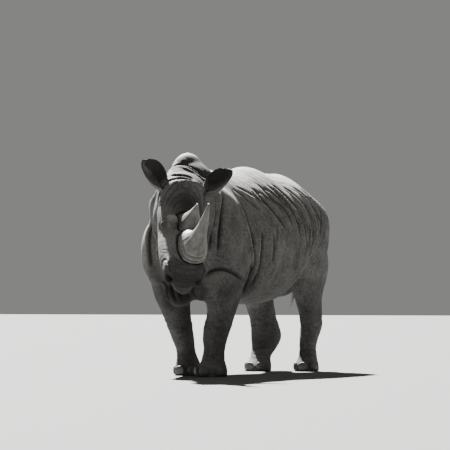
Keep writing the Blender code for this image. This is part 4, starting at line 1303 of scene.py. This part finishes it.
def nails_piece():
    """The toenails as one piece: blunt plates, ribbed from the quick down, level with the floor."""
    whole = bmesh.new()
    columns, rows = NAIL_GRID
    for leg in LEGS:
        for angle in TOES:
            half_width, half_thick, half_height = NAIL
            if angle == 0:
                half_width *= MIDDLE_NAIL
            place, out = foot_edge(leg, radians(angle), NAIL_HEIGHT)
            left = Vector((0, 0, 1)).cross(out)
            seat = frame_from(place - out * 0.002 + MIDDLE, left, out, Vector((0, 0, 1)))
            nail = bmesh.new()
            bmesh.ops.create_uvsphere(nail, u_segments=columns, v_segments=rows, radius=1.0)
            for vertex in nail.verts:
                x, y, z = vertex.co
                spread = (abs(x) ** NAIL_POWER + abs(z) ** NAIL_POWER) ** (1 / NAIL_POWER)
                square = min(1 / max(0.72, spread), 1.10) if abs(x) + abs(z) > 0.2 else 1
                rib = 0.03 * sin(x * 21 + 0.8 * noise.noise(Vector((x * 3, z * 2, angle))))
                thick = y * half_thick * (1.05 + rib)
                tall = max(z * half_height * square, -half_height * NAIL_SOLE)
                vertex.co = Vector((x * half_width * square, thick, tall))
            bmesh.ops.transform(nail, matrix=seat, verts=nail.verts)
            take_in(whole, nail)
    made = placed("toenails", stored(whole, "toenails"))
    made.data.shade_smooth()
    return made


def eye_piece(skull, side):
    """The eyeball with the swell of its cornea; the attribute iris runs from 0 at the pupil's middle."""
    (x, y, z), radius = EYE
    columns, rows = EYE_GRID
    ball = bmesh.new()
    bmesh.ops.create_uvsphere(ball, u_segments=columns, v_segments=rows, radius=1.0)
    gaze = Vector((GAZE.x * side, GAZE.y, GAZE.z))
    spin = Vector((0, 0, 1)).rotation_difference(gaze)
    for vertex in ball.verts:
        away = hypot(vertex.co.x, vertex.co.y) if vertex.co.z > 0 else 1.0
        swell = 1 + 0.035 * max(0.0, 1 - (away / 0.55) ** 2)
        vertex.co = skull @ (on_face(side * x, y, z) + spin @ (vertex.co * radius * swell))
    made = object_of(ball, "eye_left_ball" if side > 0 else "eye_right_ball")
    local = in_frame(np.array([vertex.co for vertex in made.data.vertices]), skull)
    local -= np.array(on_face(side * x, y, z))
    unit = local / np.linalg.norm(local, axis=1, keepdims=True)
    away = np.arccos(np.clip(unit @ np.array(gaze), -1, 1))
    mark(made.data, "iris", away.astype(np.float32))
    made.data.shade_smooth()
    return made


# ---- Hair: ear fringes, eyelashes, tail tip -----------------------------------------------------------
HAIR_SIDES = 3
HAIR_RINGS = 4
FRINGE_FROM = 30  # the row of the ear at which its fringe begins
FRINGE_HAIRS = 3  # on each edge, at each row of the ear
LASHES = 34
TAIL_HAIRS = 210
PATCH = 0.003  # side of a hair's patch in its bake map


def add(tree, kind, inputs=None, **settings):
    """A node with its settings, its inputs set to values or linked to other nodes' outputs."""
    made = tree.nodes.new(kind)
    for name, value in settings.items():
        setattr(made, name, value)
    for key, value in (inputs or {}).items():
        if isinstance(value, bpy.types.NodeSocket):
            tree.links.new(value, made.inputs[key])
        elif value is not None:
            made.inputs[key].default_value = value
    return made


def bristle_tree():
    """Stands one tapered, bent hair on each point, along the point's `way`, as long as its `reach`."""
    tree = bpy.data.node_groups.new("bristles_on_points", "GeometryNodeTree")
    sockets = {"Points": "Geometry", "Thickness": "Float", "Bend": "Float", "Hair": "Material"}
    for name, kind in sockets.items():
        tree.interface.new_socket(name=name, in_out="INPUT", socket_type="NodeSocket" + kind)
    tree.interface.new_socket(name="Bristles", in_out="OUTPUT", socket_type="NodeSocketGeometry")
    given = tree.nodes.new("NodeGroupInput").outputs
    taper = {"Radius Top": 0.12, "Radius Bottom": 1.0, "Depth": 1.0}
    grid = {"Vertices": HAIR_SIDES, "Side Segments": HAIR_RINGS}
    cone = add(tree, "GeometryNodeMeshCone", grid | taper, fill_type="TRIANGLE_FAN")
    place = add(tree, "GeometryNodeInputPosition").outputs[0]
    height = add(tree, "ShaderNodeSeparateXYZ", {0: place}).outputs["Z"]
    square = add(tree, "ShaderNodeMath", {0: height, 1: height}, operation="MULTIPLY").outputs[0]
    bend = add(tree, "ShaderNodeMath", {0: square, 1: given["Bend"]}, operation="MULTIPLY").outputs[0]
    push = add(tree, "ShaderNodeCombineXYZ", {"X": bend}).outputs[0]
    hair = add(tree, "GeometryNodeSetPosition", {"Geometry": cone.outputs["Mesh"], "Offset": push})
    way, reach = (
        add(tree, "GeometryNodeInputNamedAttribute", {"Name": name}, data_type=kind).outputs["Attribute"]
        for name, kind in (("way", "FLOAT_VECTOR"), ("reach", "FLOAT"))
    )
    turn = add(tree, "FunctionNodeAlignRotationToVector", {"Vector": way}, axis="Z").outputs[0]
    thick = given["Thickness"]
    size = add(tree, "ShaderNodeCombineXYZ", {"X": thick, "Y": thick, "Z": reach}).outputs[0]
    stand = {"Points": given["Points"], "Instance": hair.outputs[0], "Rotation": turn, "Scale": size}
    stood = add(tree, "GeometryNodeInstanceOnPoints", stand)
    real = add(tree, "GeometryNodeRealizeInstances", {"Geometry": stood.outputs[0]})
    done = add(tree, "GeometryNodeSetMaterial", {"Geometry": real.outputs[0], "Material": given["Hair"]})
    add(tree, "NodeGroupOutput", {0: done.outputs[0]})
    return tree


def bristles(tree, name, roots, thickness, bend, material):
    """One mesh of hairs. Each root is a place, a way as long as the hair, and its spot in the bake map."""
    data = bpy.data.meshes.new(name + "_roots")
    data.from_pydata([place for place, _, _ in roots], [], [])
    ways = [part for _, lean, _ in roots for part in lean.normalized()]
    mark(data, "way", ways, "FLOAT_VECTOR")
    mark(data, "reach", [lean.length for _, lean, _ in roots])
    holder = placed(name, data)
    grown = holder.modifiers.new("bristles", "NODES")
    grown.node_group = tree
    values = {"Thickness": thickness, "Bend": bend, "Hair": material}
    for socket in tree.interface.items_tree:
        if socket.in_out == "INPUT" and socket.name in values:
            grown[socket.identifier] = values[socket.name]
    mesh = plain_mesh(holder)
    mesh.name = name
    per_hair = len(mesh.vertices) // len(roots)
    spots = mesh.uv_layers.new(name="OFBake")
    for loop in mesh.loops:
        hair, part = divmod(loop.vertex_index, per_hair)
        u, v = roots[hair][2]
        spots.data[loop.index].uv = (u + PATCH * (part % 3 - 1) / 2, v + PATCH * (part / per_hair - 0.5))
    mesh.shade_smooth()
    return placed(name, mesh)


def ear_roots(skull, ear, chance):
    """Roots along both edges of the ear and over its tip, with the fringe's lie."""
    root, along, opens, across, inwards = ear_axes(skull, ear)
    root = root + MIDDLE
    found = []
    for share, half_width, depth, half_angle, shift in through_stations(EAR, 24)[FRINGE_FROM:]:
        for side in (-1, 1):
            for _ in range(FRINGE_HAIRS):
                angle = radians(half_angle) * side * chance.uniform(0.90, 1.0)
                inset = chance.uniform(0.003, 0.009)
                height = (share + chance.uniform(-0.006, 0.006)) * EAR_LENGTH
                centre = root + along * height + inwards * shift
                edge = across * (half_width - inset) * sin(angle) - opens * (depth - inset) * cos(angle)
                lie = along * (1.6 - 1.5 * share) + across * side * (0.25 - share)
                lie += opens * chance.uniform(0.0, 0.3)
                lie += Vector([chance.gauss(0, 0.12) for _ in range(3)])
                size = (0.008 + 0.008 * share) * chance.uniform(0.6, 1.2)
                half = 1 if ear == "ear_left" else -1
                spot = (0.1 + 0.35 * (share + 0.2), 0.5 + 0.4 * angle / pi * half)
                found.append((centre + edge, lie.normalized() * size, spot))
    return found


def lash_roots(skull, side, chance):
    """Short lashes along the upper lid, leaning out and down."""
    radius = EYE[1]
    centre, out, along, up = eye_axes(side)
    turn = skull.to_3x3()
    found = []
    for k in range(LASHES):
        share = (k + chance.uniform(-0.4, 0.4)) / (LASHES - 1) * 2 - 1
        arch = 1.08 * max(0.0, 1 - share**2) ** 0.5 - 0.1 * share
        spot = along * share * LID_SLIT[0] * 1.02 + up * LID_SLIT[1] * arch
        place = out * (radius**2 - spot.length_squared) ** 0.5 + spot
        place *= (radius + LID_THICKNESS * 0.6) / radius
        lie = out * 0.9 + up * 0.25 + along * share * 0.5
        lie += Vector((0, chance.gauss(0, 0.1), chance.gauss(0, 0.1)))
        start = skull @ (centre + place) + MIDDLE
        size = 0.014 * chance.uniform(0.7, 1.1)
        found.append((start, (turn @ lie).normalized() * size, (0.7 + 0.1 * share, 0.8 + 0.05 * side)))
    return found


def tail_roots(chance):
    """Coarse bristles along both edges of the tail's flat end and over its tip."""
    found = []
    for _ in range(TAIL_HAIRS):
        way = chance.uniform(0.80, 1.0)
        here = curve_point(TAIL_PATH, way) + MIDDLE
        along = (curve_point(TAIL_PATH, 1.0) - curve_point(TAIL_PATH, 0.97)).normalized()
        side = chance.choice((-1, 1))
        spread = chance.uniform(0.55, 1.0)
        width = 0.022 if way < 0.97 else 0.012
        place = here + Vector((side * spread * width, chance.uniform(-0.006, 0.006), 0))
        lie = along + Vector((side * 0.22 * spread, chance.gauss(0, 0.07), chance.gauss(0, 0.05)))
        size = chance.uniform(0.07, 0.15)
        found.append((place, lie.normalized() * size, (0.2 + 0.2 * way, 0.2 + 0.05 * side * spread)))
    return found


# ---- Finishes -----------------------------------------------------------------------------------------
def colour(hex_value):
    """An sRGB hex value as a linear colour."""
    parts = [int(hex_value[k : k + 2], 16) / 255 for k in (1, 3, 5)]
    linear = [part / 12.92 if part <= 0.04045 else ((part + 0.055) / 1.055) ** 2.4 for part in parts]
    return (*linear, 1.0)


def finish_named(name, roughness, ior=1.5):
    made = bpy.data.materials.new(name)
    made.use_nodes = True
    shader = made.node_tree.nodes["Principled BSDF"]
    shader.inputs["Roughness"].default_value = roughness
    shader.inputs["IOR"].default_value = ior
    return made, made.node_tree, shader


def mixed(tree, share, first, second, way="MIX"):
    """The two colours mixed by the share."""
    inputs = {"Factor": share, 6: first, 7: second}
    return add(tree, "ShaderNodeMix", inputs, data_type="RGBA", blend_type=way).outputs[2]


def ranged(tree, value, low, high, out_low=0.0, out_high=1.0):
    inputs = {"Value": value, "From Min": low, "From Max": high, "To Min": out_low, "To Max": out_high}
    return add(tree, "ShaderNodeMapRange", inputs).outputs[0]


def cloud(size, detail, roughness=0.5):
    """The settings of a mottled pattern whose patches are about `size` across."""
    return {"Scale": 1 / size, "Detail": detail, "Roughness": roughness}


def rhinoceros_hide():
    """Thick, nearly bare hide: matt grey, cracked into small plates, paler where it is dusted. Its
    attributes also paint light and shade: highlights on the sunlit top, the nape, the brows, the right
    shoulder and the lips of the folds, shade in the creases, the nostrils, the ear cups and on the hump.
    """
    made, tree, shader = finish_named("rhinoceros_hide", 0.82, 1.45)
    shader.inputs["Specular IOR Level"].default_value = 0.35
    place = add(tree, "ShaderNodeTexCoord").outputs["Object"]
    crease, ridge, lie, dark, dust_and_painted_light, grained = (
        add(tree, "ShaderNodeAttribute", attribute_name=name).outputs["Fac"]
        for name in ("crease", "ridge", "lie", "dark", "dust_and_painted_light", "grained")
    )
    mottle, blotch, grit = (
        add(tree, "ShaderNodeTexNoise", {"Vector": place, **look})
        for look in (cloud(0.16, 6.0, 0.72), cloud(0.018, 4.0, 0.6), cloud(0.004, 3.0))
    )
    across = add(tree, "ShaderNodeCombineXYZ", {"X": lie}).outputs[0]
    across, run = (
        add(tree, "ShaderNodeVectorMath", {0: way, "Scale": 1 / size}, operation="SCALE").outputs[0]
        for way, size in ((across, 0.022), (place, 0.17))
    )
    grain = add(tree, "ShaderNodeVectorMath", {0: across, 1: run}, operation="ADD").outputs[0]
    streak = add(tree, "ShaderNodeTexNoise", {"Vector": grain, **cloud(1.0, 5.0, 0.58)})
    streak = add(tree, "ShaderNodeMath", {0: streak.outputs["Fac"], 1: -0.5}, operation="ADD").outputs[0]
    streak = add(tree, "ShaderNodeMath", {0: streak, 1: grained}, operation="MULTIPLY").outputs[0]
    bent = add(tree, "ShaderNodeVectorMath", {0: blotch.outputs["Color"], "Scale": 0.010}, operation="SCALE")
    bent = add(tree, "ShaderNodeVectorMath", {0: bent.outputs[0], 1: place}, operation="ADD").outputs[0]
    cells = {"Vector": bent, "Scale": 1 / 0.010}
    plates = add(tree, "ShaderNodeTexVoronoi", cells, feature="DISTANCE_TO_EDGE")
    crack = ranged(tree, plates.outputs["Distance"], 0.0, 0.30)

    hide = mixed(tree, ranged(tree, mottle.outputs["Fac"], 0.33, 0.67), colour("#31302f"), colour("#686765"))
    speck = ranged(tree, blotch.outputs["Fac"], 0.38, 0.62)
    dust_and_painted_light_streaks = {0: dust_and_painted_light, 1: ranged(tree, streak, -0.16, 0.08)}
    painted_ridge_highlight = {0: ranged(tree, ridge, 0.1, 0.9, 0.0, 0.5), 1: speck}
    layers = [
        (ranged(tree, speck, 0.0, 0.5, 0.42, 0.0), "#2e2d2c"),
        (ranged(tree, speck, 0.5, 1.0, 0.0, 0.24), "#858481"),
        (ranged(tree, streak, -0.04, 0.12, 0.0, 0.35), "#8a8987"),
        # Dusted hide, also painted light on the sunlit top, the nape, the brows and the right shoulder
        (add(tree, "ShaderNodeMath", dust_and_painted_light_streaks, operation="MULTIPLY").outputs[0], "#a9a7a2"),
        # Darker hide, with painted shade on the hump, in the ear cups and partly on the legs
        (ranged(tree, dark, 0.0, 1.0, 0.0, 0.9), "#191817"),
        (ranged(tree, crack, 0.0, 1.0, 0.16, 0.0), "#3a3733"),
        # Painted highlight along the lips of the folds, in flecks
        (add(tree, "ShaderNodeMath", painted_ridge_highlight, operation="MULTIPLY").outputs[0], "#9a9893"),
        # Painted shade in the creases, the nostrils and the gap round the horns
        (ranged(tree, crease, 0.05, 0.85, 0.0, 0.92), "#171614"),
    ]
    for share, shade in layers:
        hide = mixed(tree, share, hide, colour(shade))
    tree.links.new(hide, shader.inputs["Base Color"])

    normal = None
    reliefs = ((streak, 0.012, 0.7), (crack, 0.0011, 0.7), (grit.outputs["Fac"], 0.0010, 0.6))
    for height, distance, strength in reliefs:
        relief = {"Height": height, "Distance": distance, "Strength": strength, "Normal": normal}
        normal = add(tree, "ShaderNodeBump", relief).outputs[0]
    tree.links.new(normal, shader.inputs["Normal"])
    return made


def horn_keratin():
    """Packed keratin fibres, dull grey, worn smooth and paler towards the tip."""
    made, tree, shader = finish_named("horn_keratin", 0.58, 1.54)
    place = add(tree, "ShaderNodeTexCoord").outputs["Object"]
    mottle = add(tree, "ShaderNodeTexNoise", {"Vector": place, **cloud(0.06, 6.0, 0.65)})
    grain = add(tree, "ShaderNodeAttribute", attribute_name="grain").outputs["Vector"]
    fibre = add(tree, "ShaderNodeTexNoise", {"Vector": grain, **cloud(0.008, 5.0, 0.7)})
    horn = mixed(tree, ranged(tree, mottle.outputs["Fac"], 0.35, 0.65), colour("#55534f"), colour("#7a7773"))
    horn = mixed(tree, ranged(tree, fibre.outputs["Fac"], 0.40, 0.60, 0.0, 0.6), horn, colour("#323130"))
    ringed = add(tree, "ShaderNodeAttribute", attribute_name="ringed").outputs["Fac"]
    horn = mixed(tree, ranged(tree, ringed, 0.0, 0.6, 0.0, 0.7), horn, colour("#2a2826"))
    horn = mixed(tree, ranged(tree, ringed, -0.4, 0.0, 0.6, 0.0), horn, colour("#a8a5a0"))
    tree.links.new(horn, shader.inputs["Base Color"])
    relief = {"Height": fibre.outputs["Fac"], "Distance": 0.0015, "Strength": 0.7}
    ridged = add(tree, "ShaderNodeBump", relief)
    tree.links.new(ridged.outputs[0], shader.inputs["Normal"])
    return made


def toenail_keratin():
    """Hard, worn keratin, a little glossier and browner than the hide."""
    made, tree, shader = finish_named("toenail_keratin", 0.50, 1.54)
    place = add(tree, "ShaderNodeTexCoord").outputs["Object"]
    grain = add(tree, "ShaderNodeTexNoise", {"Vector": place, **cloud(0.012, 5.0, 0.6)})
    nail = mixed(tree, ranged(tree, grain.outputs["Fac"], 0.35, 0.65), colour("#3c3b39"), colour("#5b5956"))
    tree.links.new(nail, shader.inputs["Base Color"])
    relief = {"Height": grain.outputs["Fac"], "Distance": 0.0012, "Strength": 0.6}
    scored = add(tree, "ShaderNodeBump", relief)
    tree.links.new(scored.outputs[0], shader.inputs["Normal"])
    return made


def wet_eye():
    """A wet, nearly black brown eye with a broad pupil."""
    made, tree, shader = finish_named("wet_eye", 0.04, 1.38)
    shader.inputs["Coat Weight"].default_value = 0.6
    shader.inputs["Coat Roughness"].default_value = 0.02
    iris = add(tree, "ShaderNodeAttribute", attribute_name="iris").outputs["Fac"]
    ball = mixed(tree, ranged(tree, iris, 0.30, 0.36), colour("#050404"), colour("#2a1c12"))
    ball = mixed(tree, ranged(tree, iris, 0.62, 0.72), ball, colour("#171210"))
    tree.links.new(ball, shader.inputs["Base Color"])
    return made


def coarse_hair():
    """Stiff dark bristle with a dull sheen."""
    made, tree, shader = finish_named("coarse_hair", 0.55, 1.55)
    place = add(tree, "ShaderNodeTexCoord").outputs["Object"]
    tint = add(tree, "ShaderNodeTexNoise", {"Vector": place, **cloud(0.01, 2.0)})
    hair = mixed(tree, ranged(tree, tint.outputs["Fac"], 0.35, 0.65), colour("#1b1917"), colour("#45403a"))
    tree.links.new(hair, shader.inputs["Base Color"])
    return made


# ---- Stage --------------------------------------------------------------------------------------------
CAMERA_AZIMUTH = radians(29)
CAMERA_DISTANCE = 19.0
CAMERA_HEIGHT = 0.60
FRAME_WIDTH = 3.814  # metres that the square frame takes in at the animal's middle
MIDDLE_AT = (0.526, 0.327)  # where the animal's middle and the horizon fall: shares from left and below
WORLD_STRENGTH = 0.30
# Strength, angular size, height above the horizon, azimuth seen from above (0 in front of the animal)
LIGHTS = {
    "key": (42.0, 2, 51, 229),
    "fill": (0.15, 90, 30, 60),
}


def stage():
    bpy.ops.mesh.primitive_plane_add(size=160)
    floor = bpy.context.object
    floor.name = "studio_floor"
    made, _, shader = finish_named("studio_floor", 0.9)
    shader.inputs["Base Color"].default_value = colour("#5c5c5a")
    floor.data.materials.append(made)
    floor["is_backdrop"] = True
    world = bpy.data.worlds.new("studio")
    world.use_nodes = True
    background = world.node_tree.nodes["Background"]
    background.inputs["Color"].default_value = colour("#e6e6e4")
    background.inputs["Strength"].default_value = WORLD_STRENGTH
    bpy.context.scene.world = world
    for name, (strength, size, height, azimuth) in LIGHTS.items():
        lamp = bpy.data.lights.new(name, "SUN")
        lamp.energy = strength
        lamp.angle = radians(size)
        made = placed(name, lamp)
        height, azimuth = radians(height), radians(azimuth)
        back = Vector((sin(azimuth) * cos(height), -cos(azimuth) * cos(height), sin(height)))
        made.rotation_mode = "QUATERNION"
        made.rotation_quaternion = back.to_track_quat("Z", "Y")


def camera():
    data = bpy.data.cameras.new("camera")
    made = placed("camera", data)
    back = Vector((sin(CAMERA_AZIMUTH), -cos(CAMERA_AZIMUTH), 0.0))
    made.location = MIDDLE + back * CAMERA_DISTANCE + Vector((0, 0, CAMERA_HEIGHT))
    made.rotation_mode = "QUATERNION"
    made.rotation_quaternion = (-back).to_track_quat("-Z", "Y")
    data.sensor_width = 36.0
    data.lens = CAMERA_DISTANCE / FRAME_WIDTH * data.sensor_width
    data.shift_x = 0.5 - MIDDLE_AT[0]
    data.shift_y = 0.5 - MIDDLE_AT[1]
    data.clip_end = 200
    bpy.context.scene.camera = made


def dressed(made, material, nodes=()):
    """The finished piece, riding on the body in place of its solids."""
    made.data.materials.clear()
    made.data.materials.append(material)
    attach(made, "root")
    if nodes:
        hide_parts(*nodes)
    return made


def dress_rhinoceros():
    skull = head_frame()
    chance = random.Random(7)

    flesh = ["head", "neck", "trunk", "tail", *LEGS, *EARS]
    dressed(skin_piece(skull), rhinoceros_hide(), flesh)
    keratin = horn_keratin()
    for horn in HORNS:
        dressed(horn_piece(head_frame(HORN_TILT), horn), keratin, [horn])
    nails = sorted(name for name in frame["nodes"] if name.startswith("toenail_"))
    dressed(nails_piece(), toenail_keratin(), nails)
    wet = wet_eye()
    for name, side in (("eye_left", 1), ("eye_right", -1)):
        dressed(eye_piece(skull, side), wet, [name])

    hair = coarse_hair()
    tree = bristle_tree()
    for ear in EARS:
        fringe = bristles(tree, ear + "_fringe", ear_roots(skull, ear, chance), 0.0007, 0.25, hair)
        dressed(fringe, hair)
    for name, side in (("lashes_left", 1), ("lashes_right", -1)):
        dressed(bristles(tree, name, lash_roots(skull, side, chance), 0.0005, -0.3, hair), hair)
    dressed(bristles(tree, "tail_bristles", tail_roots(chance), 0.0009, 0.12, hair), hair)


def write_sizes():
    """Works out the box of the solids and that of the dressed model, and keeps neither."""
    boxes = {"solids": SOLIDS_BOX, "dressed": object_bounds()}
    {name: [list(corner) for corner in box] for name, box in boxes.items()}


dress_rhinoceros()
stage()
camera()
write_sizes()
